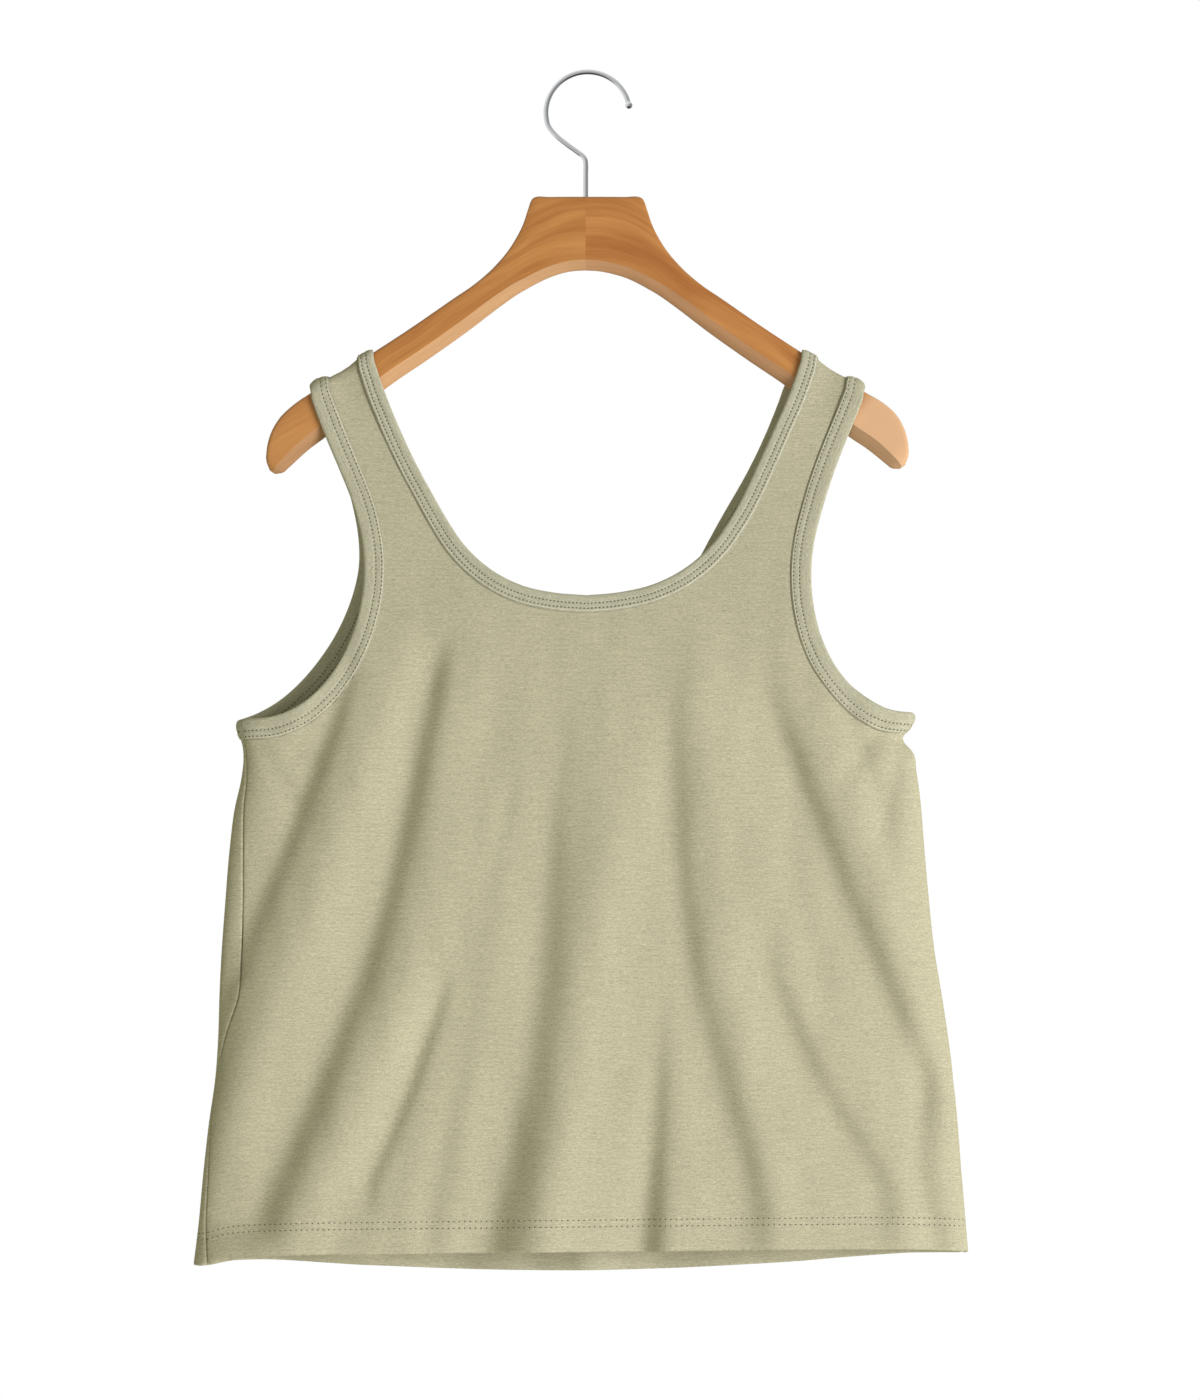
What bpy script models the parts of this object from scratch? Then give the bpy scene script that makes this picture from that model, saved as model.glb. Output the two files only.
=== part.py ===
"""A tank top hung on a two-part wooden hanger with a wire hook.

Sizes are in millimetres and become metres where points are placed. The origin is the
seat of the hook, the inside of its top. +Z is up, +X is the viewer's right and the
front of the garment faces -Y.
"""

import math
from collections import namedtuple

import bmesh
import bpy
import numpy as np
from mathutils import Vector
from mathutils.geometry import delaunay_2d_cdt

MM = 0.001

# Cloth thicknesses and seams
CLOTH = 1.4
HEM_CLOTH = 2.4
BINDING_CLOTH = 2.4
BINDING_PROUD = 0.5
SEAM_GAP = 0.3
SIDE_GAP = 0.56

# Flat sizes of the garment
PIT_Z = -414.5
NARROW_Z = -322.0
NARROW_HALF = 139.2
STRAP_RUN = 36.5
NECK_BINDING = 10.6
ARM_BINDING = 12.5
BACK_SCOOP = 1.08
HEM_Z = -743.5
HEM_TOP = -722.3
FRONT_HEM_RISE = 1.5
BACK_HEM_DROP = 8.7
TILT = 0.0105

# Hanger
WOOD_HALF = 6.0
WOOD_ROUND = 2.5
SEAM_X = -1.3
ARM_TOP = (114.0, -166.7)
ARM_SLOPE = 0.663
HANGER_X = -0.1
WIRE = 3.2
BALL = 4.7
HOOK_RADIUS = 26.5
HOOK_CENTRE = (0.0, -24.9)
SHANK_END = -102.0
BORE_GAP = 0.35

# How the straps pass over the wood
STRAP_DEPTH = WOOD_HALF + 2.3
STRAP_LIFT = 3.1
STRAP_ROUND = 3.0
STRAP_QUARTER = 1.72 * STRAP_DEPTH

# Body sections from the shoulders down: the seams' places are measured along the
# cloth from the silhouette, forward of it where positive
Section = namedtuple(
    "Section", "z half_width centre depth middle seam_left seam_right"
)
BODY = (
    Section(-170.0, 212.0, 0.0, STRAP_DEPTH, 0.0, 0.0, 0.0),
    Section(-208.0, 212.0, -0.2, STRAP_DEPTH, 0.0, 0.0, 0.0),
    Section(-240.0, 212.0, -0.7, STRAP_DEPTH, 0.0, 1.2, -1.2),
    Section(-314.0, 211.5, -3.4, 12.5, -1.0, 3.7, -3.7),
    Section(-380.0, 210.5, -5.9, 16.0, -1.5, 4.0, -4.0),
    Section(-415.0, 209.3, -6.5, 17.0, -1.5, 4.0, -4.0),
    Section(-430.0, 206.8, -5.9, 17.2, -1.5, 4.5, -4.0),
    Section(-447.0, 209.6, -5.5, 17.4, -1.6, 7.0, -4.5),
    Section(-466.0, 213.0, -6.2, 17.6, -1.7, 10.0, -5.0),
    Section(-490.0, 215.2, -6.7, 18.0, -2.0, 13.0, -6.0),
    Section(-525.0, 217.8, -6.6, 18.3, -2.0, 16.0, -7.0),
    Section(-560.0, 220.6, -5.9, 18.6, -2.0, 17.5, -8.0),
    Section(-583.0, 222.8, -4.5, 18.8, -2.0, 17.0, -6.5),
    Section(-605.0, 224.6, -3.1, 19.0, -2.0, 9.5, -3.8),
    Section(-630.0, 226.8, -2.3, 19.2, -2.0, 4.0, -0.5),
    Section(-660.0, 230.2, -2.9, 19.5, -2.0, 5.0, 2.2),
    Section(-690.0, 232.8, -3.4, 20.0, -2.0, 7.5, 1.0),
    Section(-718.0, 235.0, -3.5, 20.2, -2.0, 9.0, -4.0),
    Section(-748.0, 237.8, -4.1, 20.5, -2.0, 15.0, -6.0),
)

# The front neckline, from its lowest point to the shoulder
Neck = namedtuple("Neck", "half z")
NECKLINE = (
    Neck(0.0, -336.2),
    Neck(20.0, -334.4),
    Neck(41.0, -329.5),
    Neck(59.0, -320.3),
    Neck(77.6, -303.4),
    Neck(88.2, -287.8),
    Neck(100.0, -266.0),
    Neck(114.8, -234.9),
    Neck(127.7, -204.3),
    Neck(137.8, -173.4),
)

# Largest folds, as (x, z) at the top, middle and lower end. A trough is negative
Fold = namedtuple("Fold", "top middle low wide_top wide_low high_top high_low")
FRONT_FOLDS = (
    Fold((-142, -400), (-174, -471), (-202, -575), 13, 13, -3.5, -2.5),
    Fold((-108, -380), (-161, -537), (-209, -665), 16, 20, 1.5, 4.0),
    Fold((-82, -360), (-116, -537), (-190, -750), 13, 20, -1.5, -6.5),
    Fold((-66, -370), (-91, -545), (-160, -750), 15, 22, 1.5, 5.0),
    Fold((-83, -586), (-119, -679), (-131, -712), 8, 9, -2.5, -2.0),
    Fold((-12, -450), (-24, -610), (-38, -750), 12, 19, -2.5, -7.0),
    Fold((27, -463), (15, -570), (-9, -750), 14, 20, 2.0, 4.5),
    Fold((45, -618), (44, -667), (45, -750), 9, 10, -2.0, -4.0),
    Fold((60, -438), (63, -545), (92, -663), 12, 12, -3.0, -2.5),
    Fold((77, -370), (96, -561), (125, -720), 16, 20, 1.5, 4.0),
    Fold((121, -570), (154, -638), (190, -703), 11, 13, -3.0, -4.0),
    Fold((130, -400), (162, -528), (212, -638), 13, 15, -3.5, -3.0),
    Fold((150, -420), (179, -496), (213, -594), 13, 15, 1.5, 2.5),
)
BACK_FOLDS = (
    Fold((141, -400), (168, -490), (200, -600), 13, 15, -3.5, -2.5),
    Fold((92, -372), (140, -540), (186, -680), 14, 20, 1.5, 4.0),
    Fold((66, -380), (102, -560), (150, -750), 11, 21, -2.0, -6.0),
    Fold((26, -420), (38, -590), (62, -750), 14, 22, 1.5, 4.5),
    Fold((-8, -470), (4, -610), (12, -750), 11, 18, -2.0, -6.0),
    Fold((-52, -400), (-58, -560), (-70, -750), 14, 21, 1.5, 4.5),
    Fold((-84, -400), (-104, -570), (-132, -750), 12, 20, -2.5, -6.0),
    Fold((-120, -430), (-148, -560), (-176, -730), 14, 19, 1.5, 4.0),
    Fold((-143, -400), (-170, -500), (-206, -640), 13, 15, -3.5, -3.0),
)
FOLD_FADE = 55.0

# One arm of the hanger, section by section from the seam to the tip
Wood = namedtuple("Wood", "top_x top_z keel_x keel_z chamfer half")
ARM = (
    Wood(0.0, -80.3, 0.0, -126.9, 5.5, 6.0),
    Wood(12.0, -80.3, 9.5, -127.6, 5.5, 6.0),
    Wood(24.0, -80.4, 19.0, -129.9, 5.6, 6.0),
    Wood(33.0, -80.5, 27.0, -132.9, 5.9, 6.0),
    Wood(35.4, -82.3, 31.0, -134.9, 6.0, 6.0),
    Wood(37.4, -88.0, 34.0, -136.5, 6.2, 6.0),
    Wood(40.8, -98.4, 38.0, -138.8, 6.3, 6.0),
    Wood(48.7, -113.1, 43.5, -142.0, 6.4, 6.0),
    Wood(58.7, -125.4, 50.5, -146.9, 6.5, 6.0),
    Wood(69.8, -135.5, 59.5, -153.7, 6.6, 6.0),
    Wood(84.9, -146.2, 72.6, -164.0, 6.7, 6.0),
    Wood(114.0, -166.7, 102.2, -185.5, 6.8, 6.0),
    Wood(135.8, -181.2, 122.6, -199.6, 6.8, 6.0),
    Wood(156.0, -194.6, 140.0, -213.4, 6.8, 6.0),
    Wood(174.7, -206.9, 155.0, -225.9, 6.8, 6.0),
    Wood(185.2, -214.4, 165.0, -234.2, 6.8, 6.0),
    Wood(193.6, -222.9, 174.5, -241.4, 6.6, 6.0),
    Wood(199.0, -233.1, 182.0, -248.2, 6.2, 5.9),
    Wood(201.2, -243.4, 187.5, -253.4, 5.6, 5.6),
    Wood(201.1, -250.3, 191.6, -256.6, 4.6, 4.6),
    Wood(199.4, -254.6, 195.6, -257.2, 1.6, 2.6),
)

# The wire's way from the arc down to the shank
Bend = namedtuple("Bend", "x z")
WIRE_BENDS = (
    Bend(-20.4, -39.4),
    Bend(-13.5, -45.3),
    Bend(-6.9, -50.2),
    Bend(-2.8, -54.4),
    Bend(SEAM_X, -59.5),
    Bend(SEAM_X, -64.0),
)

# Rows of the nets
SHOULDER_STEPS = 5
SHOULDER_LENGTH = 14.0
STRAP_ROWS = 13
PIT_STEPS = (2.5, 5.5, 9.5, 15.0)
ARM_ROWS = 11
SHOULDER_COLUMNS = 3
MIDDLE_COLUMNS = 38
CHEST_STEP = 12.0
STRAP_STEPS = (2.8, 5.6, 8.4, 11.2, 14.0, 20.0, 28.0, 38.0, 50.0, 63.0, 77.0, 92.0, 108.0, 125.0)
STRAP_COLUMN = 7.0
EDGE_MARGIN = 3.0
SIDE_COLUMNS = (0.5, 3.5, 7.0, 12.0, 19.0)
SIDE_MARGIN = 41.0
BODY_ROWS = (
    HEM_Z, -733.0, -722.9, -721.7, -702.0, -682.0, -662.0, -642.0, -622.0, -602.0,
    -582.0, -562.0, -542.0, -522.0, -502.0, -482.0, -465.0, -452.0, -441.0,
)
EVEN_ROWS = 4
PIT_ROW = BODY_ROWS[-1]
QUARTER = np.linspace(0.0, math.pi / 2, 41)


def clear_scene():
    for thing in list(bpy.data.objects):
        bpy.data.objects.remove(thing, do_unlink=True)


def add_collection(name):
    made = bpy.data.collections.new(name)
    bpy.context.scene.collection.children.link(made)
    return made


def ramp(value, start, end):
    """0 at start, 1 at end, smooth between."""
    part = np.clip((value - start) / (end - start), 0.0, 1.0)
    return part * part * (3.0 - 2.0 * part)


def through(knots, values, at):
    """A smooth curve through the values at rising knots, read at each number in at."""
    knots = np.asarray(knots, float)
    values = np.asarray(values, float).reshape(len(knots), -1)
    slopes = np.gradient(values, knots, axis=0)
    at = np.clip(np.atleast_1d(at), knots[0], knots[-1])
    index = np.clip(np.searchsorted(knots, at, side="right") - 1, 0, len(knots) - 2)
    step = (knots[index + 1] - knots[index])[:, None]
    part = (at - knots[index])[:, None] / step
    start = values[index] * (1 + 2 * part) + slopes[index] * step * part
    end = values[index + 1] * (3 - 2 * part) - slopes[index + 1] * step * (1 - part)
    return start * (1 - part) ** 2 + end * part**2


def body_at(z):
    """Columns of BODY other than z, read at each height."""
    return through([-row.z for row in BODY], [row[1:] for row in BODY], -z).T


def left_of_depth(angle):
    """The share of a section's depth at an angle round it, from 1 to -1."""
    sine = np.sin(angle)
    return np.cos(angle) * np.sqrt(1 + sine**2 + sine**4)


def quarter_arcs(half_width, depth):
    """Distances from each section's centre to the angles of QUARTER."""
    x = np.outer(half_width, np.sin(QUARTER))
    y = np.outer(depth, left_of_depth(QUARTER))
    steps = np.hypot(np.diff(x), np.diff(y))
    return np.concatenate([np.zeros((len(x), 1)), np.cumsum(steps, axis=1)], axis=1)


def reach(z):
    """The distance along the cloth from the centre to the silhouette."""
    half_width, _, depth, _, _, _ = body_at(z)
    return quarter_arcs(half_width, depth)[:, -1]


def fold_height(folds, x, z):
    """How far the folds lift the cloth off its section."""
    height = np.zeros_like(x)
    for fold in folds:
        points = (fold.top, fold.middle, fold.low)
        knots = [-point[1] for point in points]
        line = through(knots, [point[0] for point in points], -z)[:, 0]
        slope = (fold.low[0] - fold.top[0]) / (fold.top[1] - fold.low[1])
        along = np.clip((-z - knots[0]) / (knots[2] - knots[0]), 0.0, 1.0)
        wide = fold.wide_top + (fold.wide_low - fold.wide_top) * along
        high = fold.high_top + (fold.high_low - fold.high_top) * along
        there = ramp(-z, knots[0] - FOLD_FADE, knots[0] + FOLD_FADE)
        there = there * (1 - ramp(-z, knots[2], knots[2] + FOLD_FADE))
        across = (x - line) / (wide * math.hypot(1.0, slope))
        height += high * there * np.exp(-(across**2))
    return height


def wood_top(x):
    return ARM_TOP[1] - ARM_SLOPE * (np.abs(x - HANGER_X) - ARM_TOP[0])


def place(front, s, z):
    """Points of the cloth's outer face, an array of rows of 3, in metres.

    s is the distance round the body from the panel's own centre, positive to the
    right, and goes on past the silhouette on to the other side. z is the height, and
    near the shoulder the length of cloth as it turns over the wood.
    """
    s, z = (np.ravel(part) for part in np.broadcast_arrays(s, z))
    half_width, centre, depth, middle, _, _ = body_at(z)
    arcs = quarter_arcs(half_width, depth)
    quarter = arcs[:, -1]
    past = np.abs(s) > quarter
    folded = np.where(past, 2 * quarter - np.abs(s), np.abs(s))
    angle = [np.interp(part, row, QUARTER) for part, row in zip(folded, arcs)]
    angle = np.where(past, math.pi - np.array(angle), angle)
    x = centre + half_width * np.sin(angle) * np.sign(s)
    left = left_of_depth(angle)
    close = ramp(-z, 255.0, 380.0)
    share = np.where(left < 0, -1.0, 1.0) * (1 - close * (1 - np.abs(left)))
    outward = np.where(past, 1.0, -1.0) * (1.0 if front else -1.0)
    own = -1.0 if front else 1.0
    height = np.where(
        outward < 0, fold_height(FRONT_FOLDS, x, z), fold_height(BACK_FOLDS, x, z)
    )
    y = middle + own * share * depth + outward * height * np.abs(left) ** 0.7
    drop = np.where(outward < 0, FRONT_HEM_RISE, -BACK_HEM_DROP)
    low = ramp(-z, 560.0, -HEM_Z)
    level = z + drop * np.abs(left) * low + TILT * x * ramp(-z, 240.0, 400.0)
    start = wood_top(x) + STRAP_LIFT - STRAP_DEPTH
    turn = np.clip((z - start) / STRAP_QUARTER, 0.0, 1.0) * math.pi / 2
    over = z > start
    power = 2.0 / STRAP_ROUND
    y = np.where(over, own * STRAP_DEPTH * np.cos(turn).clip(0.0) ** power, y)
    level = np.where(over, start + STRAP_DEPTH * np.sin(turn).clip(0.0) ** power, level)
    return np.stack([x, y, level], axis=1) * MM


def shoulder_flat(x):
    """The flat height at which the cloth reaches the top of the wood."""
    return wood_top(x) + STRAP_LIFT - STRAP_DEPTH + STRAP_QUARTER


def lengths(line):
    steps = np.hypot(*np.diff(line, axis=0).T)
    return np.concatenate([[0.0], np.cumsum(steps)])


def armhole_line():
    """The armhole's edge from the pit to the shoulder, rows of s and z."""
    wide = reach(np.array([PIT_Z]))[0] - NARROW_HALF
    angle = np.linspace(math.pi / 2, 0.0, 120)
    curve_s = NARROW_HALF + wide * (1 - np.cos(angle))
    curve_z = NARROW_Z + (PIT_Z - NARROW_Z) * np.sin(angle)
    part = np.linspace(0.0, 1.0, 121)[1:]
    top = shoulder_flat(np.array([HANGER_X + NARROW_HALF + STRAP_RUN]))[0]
    run_s = NARROW_HALF + STRAP_RUN * (1.95 * part**2 - 0.95 * part**3)
    run_z = NARROW_Z + (top - NARROW_Z) * part
    return np.stack([np.append(curve_s, run_s), np.append(curve_z, run_z)], axis=1)


def neck_line(scoop):
    """The neckline from the centre to the shoulder, its depth times scoop."""
    rows = np.array(NECKLINE)
    knots = lengths(rows)
    line = through(knots, rows, np.linspace(0.0, knots[-1], 240))
    line[:, 1] = rows[-1, 1] + (line[:, 1] - rows[-1, 1]) * scoop
    line[-1, 1] = shoulder_flat(HANGER_X + line[-1, 0])
    return line


def inset(line, width, side):
    """The line moved into the body by width, kept on the shoulder's slope at its end.

    side is -1 where the body lies towards the centre and 1 where it lies outward.
    """
    along = np.gradient(line, axis=0)
    along /= np.hypot(*along.T)[:, None]
    square = side * np.stack([along[:, 1], -along[:, 0]], axis=1)
    slant = np.stack([np.full(len(line), side), np.full(len(line), -side * ARM_SLOPE)], axis=1)
    slant /= np.abs(along[:, 1] + side * ARM_SLOPE * along[:, 0] * side)[:, None]
    left = lengths(line)[-1] - lengths(line)
    near = 1 - ramp(left, 0.0, 45.0)
    moved = line + width * (square * (1 - near[:, None]) + slant * near[:, None])
    moved[:, 0] *= reach(moved[:, 1]) / reach(line[:, 1])
    return moved


def stations(line, rows, start=0.0):
    """Places along a line, in parts of its points: even rows, then short ones at the top."""
    along = lengths(line)
    top = along[-1] - SHOULDER_LENGTH
    even = np.linspace(start, top, rows + 1)
    short = np.linspace(top, along[-1], SHOULDER_STEPS + 1)[1:]
    return np.interp(np.append(even, short), along, np.arange(len(line)))


def pit_stations(line, narrow):
    """Places from the pit up to the armhole's narrowest point, short ones at the pit."""
    along = lengths(line)
    rest = np.linspace(PIT_STEPS[-1], narrow, ARM_ROWS - len(PIT_STEPS) + 1)[1:]
    return np.interp(np.concatenate([[0.0], PIT_STEPS, rest]), along, np.arange(len(line)))


def read(line, at):
    return np.stack([np.interp(at, np.arange(len(line)), part) for part in line.T], axis=1)


def shifted(front, side, rows):
    """Rows of half distance and height put on one side, with the body's turn added."""
    turn = body_at(rows[:, 1])[4]
    level = np.minimum(turn, 4.0) * ramp(-rows[:, 1], 205.0, 240.0)
    return np.stack([side * rows[:, 0] + (level if front else -level), rows[:, 1]], axis=1)


def seam_at(front, side, z):
    """Where the side seam runs, for each height, less half the gap, wide for the tight bend."""
    _, _, _, _, left, right = body_at(z)
    forward = left if side < 0 else right
    inward = forward if front else -forward
    return side * (reach(z) - inward - SIDE_GAP / 2)


def outline_of(front):
    """The panel's flat edge, anticlockwise from the left end of the hem."""
    arm = armhole_line()
    neck = neck_line(1.0 if front else BACK_SCOOP)
    arm_body = inset(arm, ARM_BINDING + SEAM_GAP, -1.0)
    neck_body = inset(neck, NECK_BINDING + SEAM_GAP, 1.0)
    narrow = lengths(arm)[119]
    arm_at = np.append(pit_stations(arm, narrow), stations(arm, STRAP_ROWS, narrow)[1:])
    neck_at = stations(neck, STRAP_ROWS)
    body_z = np.array(BODY_ROWS)
    halves = []
    for side in (-1, 1):
        seam = np.stack([seam_at(front, side, body_z), body_z], axis=1)
        armhole = shifted(front, side, read(arm_body, arm_at))
        armhole[0, 0] = seam_at(front, side, armhole[:1, 1])[0]
        armhole[-1, 1] -= SEAM_GAP / 2
        neckline = shifted(front, side, read(neck_body, neck_at))
        neckline[-1, 1] -= SEAM_GAP / 2
        part = np.linspace(0.0, 1.0, SHOULDER_COLUMNS + 1)[1:-1, None]
        shoulder = armhole[-1] * (1 - part) + neckline[-1] * part
        halves.append(np.concatenate([seam, armhole, shoulder, neckline[::-1]]))
    left, right = halves
    hem = np.concatenate(columns_at(front, HEM_Z))[1:-1]
    hem = np.stack([hem, np.full(len(hem), body_z[0])], axis=1)
    return np.concatenate([hem, right, left[-2::-1]])


def columns_at(front, level):
    """Places at one height, seam to seam: those near each seam, and even ones between."""
    left, right = (seam_at(front, side, np.array([level]))[0] for side in (-1, 1))
    wide = reach(np.array([level]))[0] - SIDE_MARGIN
    even = np.linspace(-wide, wide, MIDDLE_COLUMNS + 1)
    near_left = left + np.array((0.0, *SIDE_COLUMNS))
    near_right = right - np.array((0.0, *SIDE_COLUMNS))
    near_left = np.append(near_left, (near_left[-1] + even[0]) / 2)
    near_right = np.append(near_right, (near_right[-1] + even[-1]) / 2)
    return near_left, even, near_right[::-1]


def inner_places(front, outline):
    """Places inside the panel's edge: rows in the body, chest and straps."""
    found = []
    for number, level in enumerate(BODY_ROWS[1:], 1):
        near_left, even, near_right = columns_at(front, level)
        if number >= EVEN_ROWS and number % 2:
            even = (even[:-1] + even[1:]) / 2
        row = np.concatenate([near_left[1:], even, near_right[:-1]])
        found += [(s, level) for s in row]
    even = columns_at(front, PIT_ROW)[1]
    step = even[1] - even[0]
    for number, level in enumerate(np.arange(PIT_ROW + CHEST_STEP, NARROW_Z, CHEST_STEP)):
        shift = step / 2 if number % 2 == 0 else 0.0
        found += [(s + shift, level) for s in even]
    for side in (-1, 1):
        for below in STRAP_STEPS:
            step = STRAP_COLUMN if below < 50 else 1.7 * STRAP_COLUMN
            for half in np.arange(20.0, 175.0, step):
                level = shoulder_flat(HANGER_X + half) - below
                if level > NARROW_Z + CHEST_STEP / 2:
                    found.append((side * half, level))
    found = np.array(found)
    ends = np.roll(outline, -1, axis=0)
    along = ends - outline
    part = ((found[:, None] - outline) * along).sum(2) / (along**2).sum(1)
    nearest = outline + np.clip(part, 0.0, 1.0)[..., None] * along
    away = np.hypot(*np.moveaxis(found[:, None] - nearest, 2, 0)).min(axis=1)
    above = (outline[:, 1] > found[:, 1:]) != (ends[:, 1] > found[:, 1:])
    cross = outline[:, 0] + (found[:, 1:] - outline[:, 1]) * along[:, 0] / np.where(
        along[:, 1] == 0, 1.0, along[:, 1]
    )
    inside = (above & (cross > found[:, :1])).sum(axis=1) % 2 == 1
    margin = np.where(found[:, 1] <= PIT_ROW, 0.4, EDGE_MARGIN)
    return found[inside & (away > margin)]


def fill_flat(front):
    """Flat places and triangles that fill the panel's edge."""
    outline = outline_of(front)
    inner = inner_places(front, outline)
    spots = [Vector(spot) for spot in np.concatenate([outline, inner])]
    loop = list(range(len(outline)))
    filled = delaunay_2d_cdt(spots, [], [loop], 1, 1e-5)
    return np.array(filled[0]), filled[2]


def add_grid(mesh, points):
    """A net of faces through an array of rows, columns and 3."""
    rows, columns = points.shape[:2]
    made = bmesh.ops.create_grid(mesh, x_segments=columns - 1, y_segments=rows - 1, size=1.0)
    verts = made["verts"]
    across = sorted({round(vert.co.x, 5) for vert in verts})
    along = sorted({round(vert.co.y, 5) for vert in verts})
    for vert in verts:
        row = along.index(round(vert.co.y, 5))
        column = across.index(round(vert.co.x, 5))
        vert.co = points[row, column]


def material(name, colour, roughness, metallic=0.0):
    made = bpy.data.materials.new(name)
    made.use_nodes = True
    shader = made.node_tree.nodes["Principled BSDF"]
    shader.inputs["Base Color"].default_value = (*colour, 1.0)
    shader.inputs["Roughness"].default_value = roughness
    shader.inputs["Metallic"].default_value = metallic
    made.diffuse_color = (*colour, 1.0)
    return made


def add_object(name, mesh, finish, group="tank_top"):
    data = bpy.data.meshes.new(name)
    mesh.to_mesh(data)
    mesh.free()
    thing = bpy.data.objects.new(name, data)
    bpy.data.collections[group].objects.link(thing)
    data.materials.append(finish)
    return thing


def thicken(thing, thickness, proud):
    """Wall of the given thickness, of which proud lies outside the net."""
    solidify = thing.modifiers.new("Wall", "SOLIDIFY")
    solidify.thickness = thickness * MM
    solidify.offset = 2 * proud / thickness - 1
    solidify.use_even_offset = True
    return solidify


def face_outward(mesh, centre):
    """Turn the whole net so that its faces look away from the centre line."""
    mesh.normal_update()
    total = sum(face.normal.dot(face.calc_center_median() - centre(face)) for face in mesh.faces)
    if total < 0:
        bmesh.ops.reverse_faces(mesh, faces=mesh.faces[:])


def on_middle(face):
    """The point of the garment's middle plane nearest a face."""
    middle = face.calc_center_median()
    middle.y = 0.0
    return middle


def make_panel(name, front, finish):
    mesh = bmesh.new()
    hem = mesh.verts.layers.deform.verify()
    flat, triangles = fill_flat(front)
    verts = [mesh.verts.new(point) for point in place(front, flat[:, 0], flat[:, 1])]
    for triangle in triangles:
        mesh.faces.new([verts[i] for i in triangle])
    face_outward(mesh, on_middle)
    for vert in mesh.verts:
        if vert.co.z < hem_top(front, vert.co.x) * MM:
            vert[hem][0] = 1.0
    thing = add_object(name, mesh, finish)
    thing.vertex_groups.new(name="hem")
    wall = thicken(thing, HEM_CLOTH, 0.0)
    wall.vertex_group = "hem"
    wall.thickness_vertex_group = CLOTH / HEM_CLOTH
    return thing


def hem_top(front, x):
    """The height of the hem band's upper edge at x."""
    own = FRONT_HEM_RISE if front else -BACK_HEM_DROP
    half_width, centre, _, _, _, _ = body_at(np.array([HEM_TOP]))
    share = np.clip((x / MM - centre[0]) / half_width[0], -1.0, 1.0)
    left = math.sqrt(max(0.0, 1 - share**6))
    return HEM_TOP + own * left * ramp(-HEM_TOP, 560.0, -HEM_Z) + TILT * x / MM


def ring_points(edges):
    """Three columns of points from the finished edge to the body edge."""
    return [edges[0], (edges[0] + edges[1]) / 2, edges[1]]


def binding_rows(front, line, width, side, inward, at):
    """Points of half a binding, as rows along it by 3 columns across it."""
    body = inset(line, width, inward)
    edge_rows = shifted(front, side, read(line, at))
    body_rows = shifted(front, side, read(body, at))
    columns = ring_points((edge_rows, body_rows))
    return np.stack([place(front, part[:, 0], part[:, 1]) for part in columns], axis=1)


def make_ring(name, parts, finish):
    """A binding from runs of rows that meet end to end and close on themselves."""
    rows = [part[1:] for part in parts]
    loop = np.concatenate(rows + [rows[0][:1]])
    mesh = bmesh.new()
    add_grid(mesh, loop)
    bmesh.ops.remove_doubles(mesh, verts=mesh.verts, dist=1e-6)
    face_outward(mesh, on_middle)
    thing = add_object(name, mesh, finish)
    thicken(thing, BINDING_CLOTH, BINDING_PROUD)
    return thing


def make_arm_binding(name, side, finish):
    line = armhole_line()
    narrow = lengths(line)[119]
    at = np.append(pit_stations(line, narrow), stations(line, STRAP_ROWS, narrow)[1:])
    ahead = binding_rows(True, line, ARM_BINDING, side, -1.0, at)
    behind = binding_rows(False, line, ARM_BINDING, side, -1.0, at)
    return make_ring(name, (ahead, behind[::-1]), finish)


def make_neck_binding(name, finish):
    runs = []
    for front in (True, False):
        line = neck_line(1.0 if front else BACK_SCOOP)
        at = stations(line, STRAP_ROWS)
        for side in (-1, 1):
            run = binding_rows(front, line, NECK_BINDING, side, 1.0, at)
            runs.append(run)
    left, right, back_left, back_right = runs
    return make_ring(name, (left[::-1], right, back_right[::-1], back_left), finish)


def wood_ring(row, side):
    """One section of an arm: a rounded top, flat faces and a chamfered underside."""
    x = SEAM_X + side * (max(row.top_x, 0.0) + SEAM_GAP / 2)
    keel_x = SEAM_X + side * (max(row.keel_x, 0.0) + SEAM_GAP / 2)
    if row.top_x > 30:
        x += HANGER_X - SEAM_X
        keel_x += HANGER_X - SEAM_X
    top = np.array([x, row.top_z])
    keel = np.array([keel_x, row.keel_z])
    height = np.linalg.norm(keel - top)
    bend = min(WOOD_ROUND, row.half * 0.6, height * 0.3)
    profile = [
        (0.0, 0.0),
        (row.half - bend, 0.0),
        (row.half - 0.3 * bend, 0.3 * bend),
        (row.half, bend),
        (row.half, height - row.chamfer),
        (0.28 * row.half, height - 0.1 * row.chamfer),
        (0.0, height),
    ]
    profile += [(-y, down) for y, down in profile[-2:0:-1]]
    down = (keel - top) / height
    points = [(top[0] + down[0] * part, y, top[1] + down[1] * part) for y, part in profile]
    return np.array(points) * MM


def make_arm(name, side, finish, cutter):
    """A loft through the sections of ARM, closed at both ends, less the shank's bore."""
    mesh = bmesh.new()
    rings = [[mesh.verts.new(point) for point in wood_ring(row, side)] for row in ARM]
    count = len(rings[0])
    for near, far in zip(rings, rings[1:]):
        for i in range(count):
            j = (i + 1) % count
            mesh.faces.new((near[i], near[j], far[j], far[i]))
    mesh.faces.new(rings[0])
    mesh.faces.new(rings[-1])
    bmesh.ops.recalc_face_normals(mesh, faces=mesh.faces[:])
    thing = add_object(name, mesh, finish)
    bore = thing.modifiers.new("Bore", "BOOLEAN")
    bore.operation = "DIFFERENCE"
    bore.solver = "EXACT"
    bore.object = cutter
    return thing


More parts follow.
